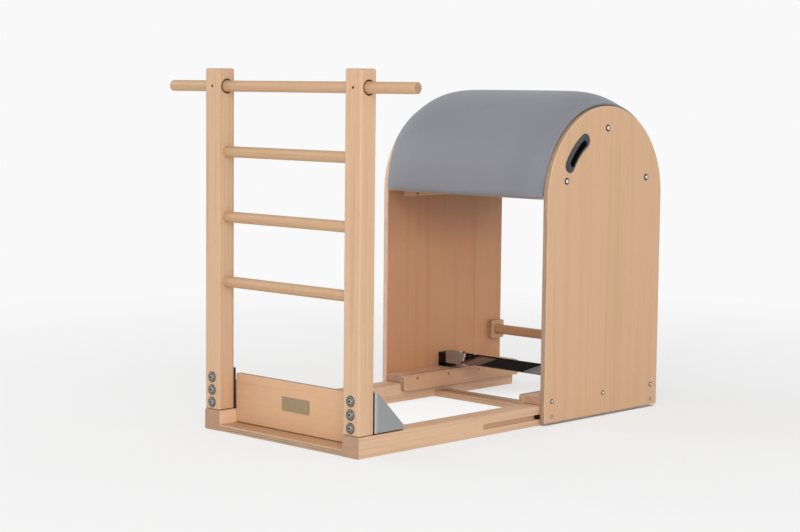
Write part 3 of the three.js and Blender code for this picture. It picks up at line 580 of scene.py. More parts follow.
def buildLadder(sizes):
    rodLow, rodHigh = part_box("top_rod")
    rodMid = (rodLow + rodHigh) / 2
    for word, side in sides:
        low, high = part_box(f"post_{word}")
        middle = (low + high) / 2
        hole = crossRod(low.x - past, high.x + past, rodMid, sizes["holeRadius"])
        front = (middle.x, low.y - past / 2, rodMid.z)
        back = (middle.x, low.y + sizes["setScrewHole"], rodMid.z)
        screwHole = rodMesh(front, back, sizes["setScrewRadius"] + sizes["setScrewGap"], steps=32)
        post = beam(low, high, axisZ, sizes["postRound"], sizes["postEndRound"])
        dress(f"ladderPost_{word}", post, "post", "base", [f"post_{word}"], [hole, screwHole])
        # Painted shade: a dark strip inside the post's foot shows in the crevice where its rounded edge meets the
        # rail
        inset = Vector((sizes["footShadeInset"], sizes["footShadeInset"], 0))
        footShadeTop = Vector((high.x, high.y, low.z + sizes["footShadeHeight"])) - inset
        foot = beam(low + inset, footShadeTop, axisZ, sizes["postRound"] * sizes["footShadeRoundShare"], 0)
        dress(f"postFootShade_{word}", foot, "creviceShade", "base")
        inner, outer, edge = sizes["rodRadius"] + sizes["rodGap"], sizes["sleeveRadius"], sizes["sleeveRound"]
        half = (high.x - low.x) / 2 + sizes["sleeveProud"]
        profile = [(inner, -half), (outer - edge, -half), (outer, edge - half), (outer, half - edge),
                   (outer - edge, half), (inner, half), (inner, -half)]
        sleeve = turned(profile, (middle.x, rodMid.y, rodMid.z), (1, 0, 0), 64)
        dress(f"rodSleeve_{word}", sleeve, "rod", "base", [f"top_rod_sleeve_{word}"])
        # Painted shade: a dark ring fills the gap between the sleeve and the hole, sunk a little
        inner, outer = sizes["sleeveRadius"], sizes["holeRadius"] - sizes["ringShadeGap"]
        half = (high.x - low.x) / 2 - sizes["ringShadeSink"]
        joint = turned([(inner, -half), (outer, -half), (outer, half), (inner, half), (inner, -half)],
                       (middle.x, rodMid.y, rodMid.z), (1, 0, 0), 64)
        dress(f"rodRingShade_{word}", joint, "creviceShade", "base")
        radius, sink, edge = sizes["setScrewRadius"], sizes["setScrewSink"], sizes["setScrewRound"]
        tip, floor = -sizes["setScrewLength"], -sink - sizes["socketDepth"]
        profile = [(0, tip), (radius, tip), (radius, -sink - edge), (radius - edge, -sink),
                   (radius * 0.55, -sink), (radius * 0.5, floor), (0, floor)]
        screw = turned(profile, (middle.x, low.y, rodMid.z), (0, -1, 0), 24)
        dress(f"setScrew_{word}", screw, "blackSteel", "base", [f"set_screw_{word}"])
    topRod = crossRod(rodLow.x, rodHigh.x, rodMid, sizes["rodRadius"], endRound=sizes["topRodEndRound"], roundSteps=1)
    dress("topRod", topRod, "topRod", "base", ["top_rod"], smoothTo=30)
    for word in ("upper", "middle", "lower"):
        low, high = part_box(f"rung_{word}")
        rung = crossRod(low.x, high.x, (low + high) / 2, sizes["rodRadius"])
        dress(f"rung_{word}_rod", rung, "rod", "base", [f"rung_{word}"])


buildLadder(ladder)
print("ladder built")

# Base
base = {
    "railRound": 6.5 * mm, "railFootRound": 1.2 * mm, "railEndRound": 5 * mm, "slotHalf": 7.35 * mm,
    "slotHeight": 25 * mm, "slotFront": 481, "slotBack": 1233, "slotDepth": 12.5 * mm, "slotEnd": 0.995,
    "boardRound": 2.2 * mm, "boardEndRound": 1 * mm, "pinHoleRadius": 6.6 * mm,
    "pinHoleDepth": 16 * mm, "pinHolePitch": 54, "pinHoleCount": 5,
    "sheet": 3 * mm, "foldRound": 5.5 * mm, "cheekTip": 9 * mm, "tipShare": 0.4,
    "tipRound": 4 * mm, "plateCorner": 1.5 * mm, "plateRound": 0.5 * mm,
    "sheetRound": 0.5 * mm, "kickGap": 1.6 * mm, "kickEndGap": 0.3 * mm, "shadeSheetBack": 3.2 * mm, "shadeSheetFoot": 2.2 * mm,
    "shadeSheetInset": 0.8 * mm, "shadeSheetGap": 0.1 * mm, "shadeSheetBackShort": 4 * mm, "shadeSheetFootShort": 5 * mm,
    "shadeSheetRound": 0.3 * mm,
}
bolts = {
    "heights": (148, 112.5, 77.5), "washerRadius": 15 * mm, "washerRim": 1.6 * mm, "coneTop": 9.6 * mm,
    "coneHeight": 4.3 * mm, "headRadius": 7.4 * mm, "headHeight": 4.9 * mm, "hexRadius": 3.4 * mm,
    "seat": 0.2 * mm, "rimWidth": 1.5 * mm, "headSink": 3.2 * mm, "socketSink": 0.9 * mm,
}
nut = {
    "washer": ((0, 0), (11, 0), (11, 1.3), (10.6, 1.6), (0, 1.6)), "radius": 7.5 * mm, "height": 6.5 * mm,
    "round": 0.6 * mm, "middle": 4.9 * mm, "studRadius": 4 * mm, "studLength": 11 * mm,
}


def rounded(corners, radius):
    points = []
    for before, corner, after in zip(corners[-1:] + corners[:-1], corners, corners[1:] + corners[:1]):
        start = corner + (before - corner).normalized() * radius
        end = corner + (after - corner).normalized() * radius
        for share in (0, 0.25, 0.5, 0.75, 1):
            points.append(start * (1 - share) ** 2 + corner * (2 * share * (1 - share)) + end * share ** 2)
    return points


def gussetSheet(node, side, sizes):
    low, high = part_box(node)
    inset = sizes["sheet"] / 2
    low = low + Vector((inset, inset + sizes["shadeSheetBack"], inset + sizes["shadeSheetFoot"]))
    high = high - Vector((inset, 0, 0))
    tip = sizes["cheekTip"]
    outer = outerX(low, high, side)
    bm = bmesh.new()
    tips = [Vector((outer, high.y, low.z)), Vector((outer, high.y, low.z + tip)),
            Vector((outer, low.y + tip * sizes["tipShare"], high.z)), Vector((outer, low.y, high.z))]
    curved = rounded(tips, sizes["tipRound"])[5:15]  # only the two outer corners are rounded
    outline = [Vector((outer, low.y, low.z)), tips[0], *curved, tips[3]]
    bm.faces.new([bm.verts.new(point) for point in outline])
    for y, z in ((high.y, low.z), (low.y, high.z)):
        sheet = [(low.x, low.y, low.z), (low.x, y, z), (high.x, y, z), (high.x, low.y, low.z)]
        bm.faces.new([bm.verts.new(point) for point in sheet])
    bmesh.ops.remove_doubles(bm, verts=bm.verts, dist=1e-6)
    bmesh.ops.recalc_face_normals(bm, faces=bm.faces)
    soften(bm, sharpEdges(bm), sizes["foldRound"], 5)
    return bm


def gussetShadeSheet(node, sizes):  # painted shade: a dark sheet between the bracket and the wood, standing in for the shade in the crevices
    low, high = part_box(node)
    edge, gap, edgeRound = sizes["shadeSheetInset"], sizes["shadeSheetGap"], sizes["shadeSheetRound"]
    uprightHigh = Vector((high.x - edge, low.y + sizes["shadeSheetBack"] - gap, high.z - sizes["shadeSheetBackShort"]))
    upright = beam(low + Vector((edge, 0, 0)), uprightHigh, axisX, edgeRound, edgeRound, 2)
    flatHigh = Vector((high.x - edge, high.y - sizes["shadeSheetFootShort"], low.z + sizes["shadeSheetFoot"] - gap))
    flat = beam(low + Vector((edge, sizes["shadeSheetBack"], 0)), flatHigh, axisX, edgeRound, edgeRound, 2)
    return merged(upright, flat)


def thicken(piece, thickness, edgeRound):
    solid = piece.modifiers.new("sheet", "SOLIDIFY")
    solid.thickness = thickness
    solid.offset = 0
    solid.use_even_offset = True
    rounding = piece.modifiers.new("edges", "BEVEL")
    rounding.width = edgeRound
    rounding.segments = 2
    rounding.limit_method = "ANGLE"
    rounding.angle_limit = math.radians(50)
    piece.modifiers.remove(piece.modifiers["evenShading"])
    even = piece.modifiers.new("evenShading", "WEIGHTED_NORMAL")
    even.keep_sharp = True


def boltSet(place, sizes):
    rim, top, outer, coneTop = sizes["washerRim"], sizes["coneHeight"], sizes["washerRadius"], sizes["coneTop"]
    inner, seat = outer - sizes["rimWidth"], sizes["seat"]
    edge = [(inner, seat), (outer, seat), (outer, rim * 0.6), (outer - 0.5 * mm, rim), (inner, rim * 0.9),
            (inner, seat)]
    cone = [(0, seat), (inner, seat), (inner, rim * 1.15), (coneTop + 1.4 * mm, top - 0.2 * mm),
            (coneTop + 0.6 * mm, top), (coneTop - 0.3 * mm, top - 0.3 * mm),
            (sizes["headRadius"] + 0.9 * mm, top - 3.0 * mm), (0, top - 3.0 * mm)]
    head, hexagon, height, sink = sizes["headRadius"], sizes["hexRadius"], sizes["headHeight"], sizes["headSink"]
    screw = [(0, top - sink), (head, top - sink), (head, height - 2.6 * mm), (head * 0.97, height - 1.8 * mm),
             (head * 0.88, height - 1.0 * mm), (head * 0.74, height - 0.4 * mm), (hexagon + 0.5 * mm, height),
             (hexagon, height - 0.3 * mm), (hexagon, height - sink), (0, height - sink)]
    wide, low, high = hexagon - 0.1 * mm, height - 3.1 * mm, height - sizes["socketSink"]
    socket = [(0, low), (wide, low), (wide, high), (0, high)]
    return [turned(profile, place, (0, -1, 0)) for profile in (edge, cone, screw, socket)]


def nutSet(place, sizes):
    place, radius, backwards = Vector(place), sizes["radius"], Vector((0, 1, 0))
    washer = turned(inMm(sizes["washer"]), place, backwards)
    body = bmesh.new()
    bmesh.ops.create_cone(body, cap_ends=True, segments=6, radius1=radius, radius2=radius, depth=sizes["height"])
    soften(body, sharpEdges(body), sizes["round"], 2)
    moved(body, Matrix.Translation(place + backwards * sizes["middle"]) @ facing(backwards))
    stud = rodMesh(place, place + backwards * sizes["studLength"], sizes["studRadius"], sizes["round"], 24)
    return merged(washer, body, stud)


def railMesh(low, high, sizes):  # rounded above, almost sharp where it lies on the floor
    bm = beam(low, high, axisY, 0, 0)
    middle = (low.z + high.z) / 2
    foot = sizes["railFootRound"]
    soften(bm, [e for e in longEdges(bm, axisY, mm) if e.verts[0].co.z > middle], sizes["railRound"], 5)
    soften(bm, [e for e in longEdges(bm, axisY, mm) if e.verts[0].co.z < low.z + 0.1 * mm], foot, 2)
    bm.normal_update()
    rims = [e for e in rimEdges(bm, axisY) if (e.verts[0].co.z + e.verts[1].co.z) / 2 > low.z + 2 * foot]
    soften(bm, rims, sizes["railEndRound"], 5)
    return bm


def buildBase(sizes, boltSizes, nutSizes):
    pinX = sum(corner.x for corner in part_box("latch_pin_right")) / 2
    pinY = sum(corner.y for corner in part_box("latch_pin_right")) / 2
    for word, side in sides:
        low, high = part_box(f"rail_{word}")
        rail = railMesh(low, high, sizes)
        outer = outerX(low, high, side)
        inner = outer - side * sizes["slotDepth"]
        slotLow = Vector((min(outer + side * past, inner), sizes["slotFront"] * mm + postFront,
                          sizes["slotHeight"] - sizes["slotHalf"]))
        slotHigh = Vector((max(outer + side * past, inner), sizes["slotBack"] * mm + postFront,
                           sizes["slotHeight"] + sizes["slotHalf"]))
        cutters = [beam(slotLow, slotHigh, axisX, sizes["slotHalf"] * sizes["slotEnd"], 0, 12)]
        for step in range(sizes["pinHoleCount"]):
            spot = (side * pinX, pinY - step * sizes["pinHolePitch"] * mm)
            cutters.append(rodMesh((*spot, high.z - sizes["pinHoleDepth"]), (*spot, high.z + past),
                                   sizes["pinHoleRadius"], steps=32))
        dress(f"baseRail_{word}", rail, "rail", "base", [f"rail_{word}"], cutters)
        gusset = gussetSheet(f"gusset_{word}", side, sizes)
        piece = dress(f"bracket_{word}", gusset, "greyPaint", "base", [f"gusset_{word}"])
        thicken(piece, sizes["sheet"], sizes["sheetRound"])
        # Painted shade: the dark sheet in the crevices between bracket, post and rail
        dress(f"bracketShadeSheet_{word}", gussetShadeSheet(f"gusset_{word}", sizes), "creviceShade", "base")
        postX = side * (postLow.x + postHigh.x) / 2
        for level, height in zip(("upper", "middle", "lower"), boltSizes["heights"]):
            edge, cone, screw, socket = boltSet(fromFront(postX / mm, 0, height), boltSizes)
            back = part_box(f"gusset_{word}")[0].y + sizes["shadeSheetBack"] + sizes["sheet"]
            name = f"postBolt_{word}_{level}"
            dress(f"{name}_washer", cone, "zinc", "base", [f"post_bolt_{word}_{level}"])
            # Painted shade: the washer's dark outer rim ring stands in for its contact shadow
            dress(f"{name}_edge", edge, "darkMetalAndRimShade", "base")
            dress(f"{name}_screw", screw, "dullSteel", "base")
            # Painted shade: a near-black disc in the hex socket
            dress(f"{name}_socket", socket, "dark", "base")
            dress(f"{name}_nut", nutSet((postX, back, height * mm), nutSizes), "zinc", "base")
    rounds = sizes["boardRound"], sizes["boardEndRound"], 4
    for node, finish, slotName in (("foot_board", "foot", "plywood"), ("cross_board", "crossBoard", "maple")):
        dress(node.replace("_b", "B"), nodeBeam(node, axisX, *rounds), finish, "base", [node])
    low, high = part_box("kick_board")
    gap = Vector((sizes["kickEndGap"], 0, 0))
    kick = beam(low + gap + Vector((0, 0, sizes["kickGap"])), high - gap, axisX, *rounds)
    dress("kickBoard", kick, "kick", "base", ["kick_board"])
    plate = nodeBeam("name_plate", axisY, sizes["plateCorner"], sizes["plateRound"], 3)
    dress("namePlate", plate, "brass", "base", ["name_plate"])


buildBase(base, bolts, nut)
print("base built")

# The carriage's side panels
panel = {"round": 3.2 * mm, "steps": 96, "openingWidth": 26 * mm}
grip = {
    "radius": 194 * mm, "width": 42 * mm, "start": 122.2, "end": 150.7, "proud": 5.0 * mm,
    "wellRadius": 191 * mm, "wellWidth": 19 * mm, "wellStart": 125.2, "wellEnd": 148.2, "depth": 14 * mm,
    "wellFrom": 4.1 * mm, "wellReach": 0.53,
}
panelMiddle = (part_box("panel_right")[0].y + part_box("panel_right")[1].y) / 2
archCentre = Vector((0, panelMiddle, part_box("barrel_shell")[0].z))


def archPlate(low, high, steps):
    bm = bmesh.new()
    start = bm.verts.new((low.x, high.y, archCentre.z))
    bmesh.ops.spin(bm, geom=[start], cent=archCentre, axis=(1, 0, 0), angle=math.pi, steps=steps)
    bmesh.ops.remove_doubles(bm, verts=bm.verts, dist=1e-7)
    bm.verts.ensure_lookup_table()
    first = min(bm.verts, key=lambda v: (abs(v.co.z - archCentre.z) > 1e-6, -v.co.y))
    last = min(bm.verts, key=lambda v: (abs(v.co.z - archCentre.z) > 1e-6, v.co.y))
    corners = [bm.verts.new((low.x, high.y, low.z)), bm.verts.new((low.x, low.y, low.z))]
    for pair in ((first, corners[0]), (corners[0], corners[1]), (corners[1], last)):
        bm.edges.new(pair)
    bmesh.ops.edgeloop_fill(bm, edges=bm.edges)
    grown = bmesh.ops.extrude_face_region(bm, geom=bm.faces[:])
    bmesh.ops.translate(bm, vec=(high.x - low.x, 0, 0), verts=madeVerts(grown))
    bmesh.ops.recalc_face_normals(bm, faces=bm.faces)
    return bm


def bandRing(bm, x, radius, width, start, end, arcSteps=18, endSteps=12):
    half, startAngle, endAngle = width / 2, math.radians(start), math.radians(end)

    def spot(distance, angle):
        return Vector((x, archCentre.y + distance * math.cos(angle), archCentre.z + distance * math.sin(angle)))

    def sweep(vertex, centre, angle, count):
        swept = bmesh.ops.spin(bm, geom=[vertex], cent=centre, axis=(1, 0, 0), angle=angle, steps=count)
        return next(g for g in swept["geom_last"] if isinstance(g, bmesh.types.BMVert))

    before = set(bm.verts)
    vertex = bm.verts.new(spot(radius + half, startAngle))
    vertex = sweep(vertex, (x, archCentre.y, archCentre.z), endAngle - startAngle, arcSteps)
    vertex = sweep(vertex, spot(radius, endAngle), math.pi, endSteps)
    vertex = sweep(vertex, (x, archCentre.y, archCentre.z), startAngle - endAngle, arcSteps)
    sweep(vertex, spot(radius, startAngle), math.pi, endSteps)
    ring = [v for v in bm.verts if v not in before]
    bmesh.ops.remove_doubles(bm, verts=ring, dist=1e-5)
    ring = [v for v in bm.verts if v not in before]
    return [e for e in bm.edges if e.verts[0] in ring and e.verts[1] in ring]


def bandBody(rings):
    bm = bmesh.new()
    loops = [bandRing(bm, *ring) for ring in rings]
    for first, second in zip(loops, loops[1:]):
        bmesh.ops.bridge_loops(bm, edges=first + second)
    for loop in (loops[0], loops[-1]):
        bmesh.ops.edgeloop_fill(bm, edges=loop)
    bmesh.ops.recalc_face_normals(bm, faces=bm.faces)
    return bm


def gripMesh(side, face, sizes):
    rim = sizes["radius"], sizes["width"], sizes["start"], sizes["end"]
    well = sizes["wellRadius"], sizes["wellWidth"], sizes["wellStart"], sizes["wellEnd"]
    out, deep = sizes["proud"], sizes["depth"]
    layers = [  # each: the band it follows, its height over the panel and how much narrower it is
        (well, -deep - 1.5 * mm, -3), (well, -0.2 * mm, -3), (rim, 0.2 * mm, 0), (rim, 0.9 * mm, 0),
        (rim, 1.3 * mm, 0.6), (rim, out * 0.36, 2.6), (rim, out * 0.62, 8), (rim, out * 0.86, 14), (rim, out, 19),
        (well, out * 0.98, -2.6), (well, out * 0.80, -0.6), (well, out * 0.4, 0), (well, -deep + 2 * mm, 0.6),
        (well, -deep, 4),
    ]
    return bandBody([(face + side * height, radius, width - narrower * mm, start, end)
                     for (radius, width, start, end), height, narrower in layers])


def bandDistance(point, sizes):
    y, z = point.y - archCentre.y, point.z - archCentre.z
    low, high = math.radians(sizes["wellStart"]), math.radians(sizes["wellEnd"])
    angle = max(low, min(high, math.atan2(z, y)))
    return math.hypot(y - sizes["wellRadius"] * math.cos(angle), z - sizes["wellRadius"] * math.sin(angle))


panelScrews = {
    "upper": ((984.3, 841.9), (801, 693), (1171.6, 694.9)),
    "lower": ((752, 68), (985, 68), (1216, 68)),
    "lowest": ((752, 24.7), (1216, 24.5)),
    "upperRadius": 10.0 * mm, "lowerRadius": 6.8 * mm, "lowestRadius": 6.2 * mm,
    "cupShares": ((0.74, 0.30), (0.69, 0.30), (0.60, 0.20), (0, 0.20)),
    "headShares": ((0, 0.10), (0.60, 0.15), (0.57, 0.27), (0.46, 0.40), (0.30, 0.47), (0.22, 0.48), (0.20, 0.20),
                   (0, 0.20)),
}


def panelScrew(place, side, radius, sizes):
    cup = [(0, 0.05 * mm), (radius, 0.05 * mm), (radius, 0.5 * mm), (radius * 0.96, 0.9 * mm)]
    cup += [(radius * out, radius * up) for out, up in sizes["cupShares"]]
    head = [(radius * out, radius * up) for out, up in sizes["headShares"]]
    return turned(cup, place, (side, 0, 0), 32), turned(head, place, (side, 0, 0), 32)


def buildSides(panelSizes, gripSizes, screws):
    for word, side in sides:
        low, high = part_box(f"panel_{word}")
        plate = archPlate(low, high, panelSizes["steps"])
        soften(plate, sharpEdges(plate), panelSizes["round"], 4)
        band = gripSizes["wellRadius"], panelSizes["openingWidth"], gripSizes["wellStart"], gripSizes["wellEnd"]
        opening = bandBody([(x, *band) for x in (low.x - past, high.x + past)])
        dress(f"sidePanel_{word}", plate, f"panel_{word}", "carriage", [f"panel_{word}"], [opening])
        face = outerX(low, high, side)
        handGrip = dress(f"handGrip_{word}", gripMesh(side, face, gripSizes), "gripPlastic", "carriage",
                         [f"hand_grip_{word}"], smoothTo=60)
        # Painted shade: faces deep in the well take the near-black recess finish
        handGrip.data.materials.append(finishes["dark"].material)
        wellTop, reach = abs(face) + gripSizes["wellFrom"], gripSizes["wellWidth"] * gripSizes["wellReach"]
        for polygon in handGrip.data.polygons:
            inWell = abs(polygon.center.x) < wellTop and bandDistance(polygon.center, gripSizes) < reach
            polygon.material_index = 1 if inWell else 0
        cups, heads, dull = [], [], []
        for y, z in screws["lowest"]:
            dull.extend(panelScrew(onFace(face, y, z), side, screws["lowestRadius"], screws))
        dress(f"lowScrews_{word}", merged(*dull), "dullSteel", "carriage")
        for kind in ("upper", "lower"):
            for y, z in screws[kind]:
                cup, head = panelScrew(onFace(face, y, z), side, screws[kind + "Radius"], screws)
                cups.append(cup)
                heads.append(head)
        # The dark cups are partly painted shade around the screw heads
        dress(f"panelScrewCups_{word}", merged(*cups), "darkMetalAndRimShade", "carriage")
        dress(f"panelScrews_{word}", merged(*heads), "screwSteel", "carriage")


buildSides(panel, grip, panelScrews)
print("side panels built")

# Runners, guides, glides and rear rod
runners = {
    "runnerRound": 3 * mm, "runnerEndRound": 1.5 * mm, "guideEndRound": 8 * mm, "guideRound": 1.6 * mm,
    "guideScrews": ((776.5, 68.6), (917, 68.6), (1057, 68.6), (1197, 68.6)), "screwRadius": 4.8 * mm,
    "blockRound": 6 * mm, "blockEndRound": 1.6 * mm, "boreRadius": 16.6 * mm, "pinBoreRadius": 6.3 * mm,
    "glideInset": 6 * mm, "glideEnd": 0.99, "glideRound": 0.4 * mm,
}


def smallScrew(place, direction, radius):
    head = [(0, -0.6 * mm), (radius, -0.4 * mm), (radius, 0.2 * mm), (radius * 0.8, 0.9 * mm),
            (radius * 0.5, 1.3 * mm), (radius * 0.34, 1.4 * mm), (radius * 0.28, 0.1 * mm), (0, 0.1 * mm)]
    return turned(head, place, direction, 24)


def screwRow(face, spots, side, radius):
    return merged(*[smallScrew(onFace(face, y, z), (-side, 0, 0), radius) for y, z in spots])


def buildRunners(sizes):
    for word, side in sides:
        low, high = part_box(f"runner_{word}")
        pinLow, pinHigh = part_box(f"latch_pin_{word}")
        spot = (pinLow + pinHigh) / 2
        bore = rodMesh((spot.x, spot.y, low.z - past), (spot.x, spot.y, high.z + past), sizes["pinBoreRadius"],
                       steps=32)
        runner = beam(low, high, axisX, sizes["runnerRound"], sizes["runnerEndRound"])
        dress(f"runnerBlock_{word}", runner, "runner", "carriage", [f"runner_{word}"], [bore])
        guide = nodeBeam(f"guide_board_{word}", axisX, sizes["guideEndRound"], sizes["guideRound"], 6)
        dress(f"guideRail_{word}", guide, "guide", "carriage", [f"guide_board_{word}"])
        guideLow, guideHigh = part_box(f"guide_board_{word}")
        heads = screwRow(outerX(guideLow, guideHigh, -side), sizes["guideScrews"], side, sizes["screwRadius"])
        dress(f"guideScrews_{word}", heads, "dullSteel", "carriage")
        for end in ("front", "back"):
            node = f"glide_{end}_{word}"
            low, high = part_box(node)
            inset, endRound = Vector((0, sizes["glideInset"], 0)), (high.z - low.z) / 2 * sizes["glideEnd"]
            glide = beam(low + inset, high - inset, axisX, endRound, sizes["glideRound"], 8)
            dress(f"slotGlide_{end}_{word}", glide, "blackPlastic", "carriage", [node])
        low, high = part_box(f"rear_block_{word}")
        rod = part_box("rear_rod")
        bore = crossRod(low.x - past, high.x + past, (rod[0] + rod[1]) / 2, sizes["boreRadius"])
        block = beam(low, high, axisX, sizes["blockRound"], sizes["blockEndRound"])
        dress(f"rodBlock_{word}", block, "block", "carriage", [f"rear_block_{word}"], [bore])
    low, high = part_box("rear_rod")
    rod = crossRod(low.x, high.x, (low + high) / 2, ladder["rodRadius"])
    dress("rearRod", rod, "rod", "carriage", ["rear_rod"])


buildRunners(runners)
print("runners built")

# Barrel: shell, ribs, cleats and pad
barrel = {
    "steps": 72, "shellGap": 0.3 * mm, "shellRound": 1 * mm, "ribInner": 140 * mm, "ribRound": 1.5 * mm,
    "cleatRound": 1.5 * mm, "cleatEndRound": 1 * mm, "cleatScrews": ((831, 629), (984, 629), (1137, 629)),
    "cleatScrewRadius": 3.6 * mm,
}
pad = {
    "seatRadius": 262.4 * mm, "edgeRadius": 276 * mm, "crown": 30.5 * mm, "power": 9, "flatness": 1.8,
    "farFlatness": 1.2, "halfWidth": 305.2 * mm, "cornerRound": 1 * mm, "arcSteps": 120, "acrossSteps": 48,
    "endThinning": 8 * mm, "thinningPower": 12, "endShare": 0.55, "endAngle": math.radians(4.4),
    "overhang": 6.5 * mm, "farOverhang": 9.5 * mm, "overhangPower": 12, "wall": (2.4 * mm, 3.4 * mm, 9.5 * mm),
    "farWall": (2.4 * mm, 3.4 * mm, 10.5 * mm), "lapInset": 0.1 * mm, "lapRise": 1.2 * mm, "rimReach": 0.1 * mm,
    "pressure": 3.2, "stiffness": 40, "quality": 6, "lastFrame": 20, "maxSwell": 1.6 * mm, "shrink": 0.6 * mm,
    "heldHeight": 6 * mm,
}


def halfTube(inner, outer, lowX, highX, steps, edgeRound):
    bm = bmesh.new()
    corners = [bm.verts.new((x, archCentre.y + radius, archCentre.z)) for x, radius in
               ((lowX, inner), (highX, inner), (highX, outer), (lowX, outer))]
    section = bm.faces.new(corners)
    bmesh.ops.spin(bm, geom=[section, *section.edges, *section.verts], cent=archCentre, axis=(1, 0, 0),
                   angle=math.pi, steps=steps)
    bmesh.ops.remove_doubles(bm, verts=bm.verts, dist=1e-7)
    bmesh.ops.recalc_face_normals(bm, faces=bm.faces)
    soften(bm, sharpEdges(bm), edgeRound, 2)
    return bm


def padBlank(sizes):
    half, count, seat = sizes["halfWidth"], sizes["acrossSteps"], sizes["seatRadius"]
    inner, outer = [], []
    for step in range(count + 1):
        across = math.cos(math.pi * step / count)
        flatness = sizes["flatness"] if across > 0 else sizes["farFlatness"]
        crown = sizes["crown"] * max(0.0, 1 - abs(across) ** sizes["power"]) ** flatness
        drop = sizes["cornerRound"] if step in (0, count) else 0
        inner.append((across * half, seat))
        outer.append((across * half, sizes["edgeRadius"] + crown - drop - sizes["shrink"]))
    near, far = half + sizes["overhang"], half + sizes["farOverhang"]
    wall = [(x, seat + rise) for x, rise in zip((half, near, near), sizes["wall"])]
    farWall = [(x, seat + rise) for x, rise in zip((-half, -far, -far), sizes["farWall"])]
    lapX, lapRadius = half - sizes["lapInset"], outer[0][1] + sizes["lapRise"]
    outer = [(lapX, lapRadius), *outer[1:-1], (-lapX, lapRadius)]
    section = inner + farWall + outer[::-1] + wall[::-1]
    bm = bmesh.new()
    chain = [bm.verts.new((x, archCentre.y + radius, archCentre.z)) for x, radius in section]
    edges = [bm.edges.new(pair) for pair in zip(chain, chain[1:] + chain[:1])]
    bmesh.ops.spin(bm, geom=chain + edges, cent=archCentre, axis=(1, 0, 0), angle=math.pi, steps=sizes["arcSteps"])
    bmesh.ops.remove_doubles(bm, verts=bm.verts, dist=1e-6)
    reach = sizes["rimReach"]
    for sign in (-1, 1):
        rim = [e for e in bm.edges if all(abs(v.co.z - archCentre.z) < reach and (v.co.y - archCentre.y) * sign > 0
                                          for v in e.verts)]
        bmesh.ops.edgeloop_fill(bm, edges=[e for e in rim if len(e.link_faces) == 1])
    bmesh.ops.recalc_face_normals(bm, faces=bm.faces)
    print("open edges in the pad:", len([e for e in bm.edges if len(e.link_faces) != 2]))
    for vertex in bm.verts:
        flat = Vector((0, vertex.co.y - archCentre.y, vertex.co.z - archCentre.z))
        thickness = flat.length - seat
        if thickness > mm:
            thickness -= sizes["endThinning"] * abs(flat.y / flat.length) ** sizes["thinningPower"]
            rise = min(1.0, math.asin(min(1.0, max(0.0, flat.z / flat.length))) / sizes["endAngle"])
            thickness *= 1 - (1 - sizes["endShare"]) * (1 - rise) ** 2
            vertex.co += flat.normalized() * (seat + thickness - flat.length)
        over = abs(vertex.co.x) - half
        if over > 0:  # the cover swells over the panels' edges, less towards the ends of the arch
            vertex.co.x -= math.copysign(over * abs(flat.y / flat.length) ** sizes["overhangPower"], vertex.co.x)
    return bm


def swell(piece, sizes):
    rest = [v.co.copy() for v in piece.data.vertices]
    group = piece.vertex_groups.new(name="stapled")
    heldRadius = sizes["seatRadius"] + sizes["heldHeight"]
    held = [i for i, co in enumerate(rest) if (co - archCentre).yz.length < heldRadius]
    group.add(held, 1.0, "REPLACE")
    cloth = piece.modifiers.new("cloth", "CLOTH")
    cloth.settings.use_pressure = True
    cloth.settings.uniform_pressure_force = sizes["pressure"]
    cloth.settings.effector_weights.gravity = 0
    cloth.settings.vertex_group_mass = "stapled"
    cloth.settings.tension_stiffness = sizes["stiffness"]
    cloth.settings.compression_stiffness = sizes["stiffness"]
    cloth.settings.quality = sizes["quality"]
    scene = bpy.context.scene
    for number in range(1, sizes["lastFrame"] + 1):
        scene.frame_set(number)
    depsgraph = bpy.context.evaluated_depsgraph_get()
    simulated = bpy.data.meshes.new_from_object(piece.evaluated_get(depsgraph))
    piece.modifiers.clear()
    piece.vertex_groups.clear()
    scene.frame_set(1)
    for vertex, old in zip(simulated.vertices, rest):
        step = vertex.co - old
        if step.length > sizes["maxSwell"]:
            vertex.co = old + step.normalized() * sizes["maxSwell"]
    piece.data = simulated


def buildBarrel(sizes, padSizes):
    shellLow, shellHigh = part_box("barrel_shell")
    outer = shellHigh.z - shellLow.z
    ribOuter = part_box("rib_centre")[1].z - shellLow.z
    shell = halfTube(ribOuter + sizes["shellGap"], outer, shellLow.x, shellHigh.x, sizes["steps"],
                     sizes["shellRound"])
    dress("barrelShell", shell, "shell", "carriage", ["barrel_shell"])
    for word in ("left", "centre", "right"):
        low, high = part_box(f"rib_{word}")
        rib = halfTube(sizes["ribInner"], ribOuter, low.x, high.x, sizes["steps"], sizes["ribRound"])
        dress(f"archRib_{word}", rib, "shell", "carriage", [f"rib_{word}"])
    for word, side in sides:
        cleat = nodeBeam(f"cleat_{word}", axisY, sizes["cleatRound"], sizes["cleatEndRound"], 3)
        dress(f"edgeCleat_{word}", cleat, "cleat", "carriage", [f"cleat_{word}"])
        low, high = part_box(f"cleat_{word}")
        heads = screwRow(outerX(low, high, -side), sizes["cleatScrews"], side, sizes["cleatScrewRadius"])
        dress(f"cleatScrews_{word}", heads, "blackSteel", "carriage")
    piece = asObject("barrelPadding", padBlank(padSizes))
    swell(piece, padSizes)
    piece.data.materials.clear()
    piece.data.materials.append(finishes["vinyl"].material)
    piece.data.shade_smooth()
    finer = piece.modifiers.new("smooth", "SUBSURF")
    finer.levels = finer.render_levels = 1
    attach(piece, "carriage")
    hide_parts("barrel_pad")
    print("padding has", len(piece.data.vertices), "points")


buildBarrel(barrel, pad)
print("barrel built")

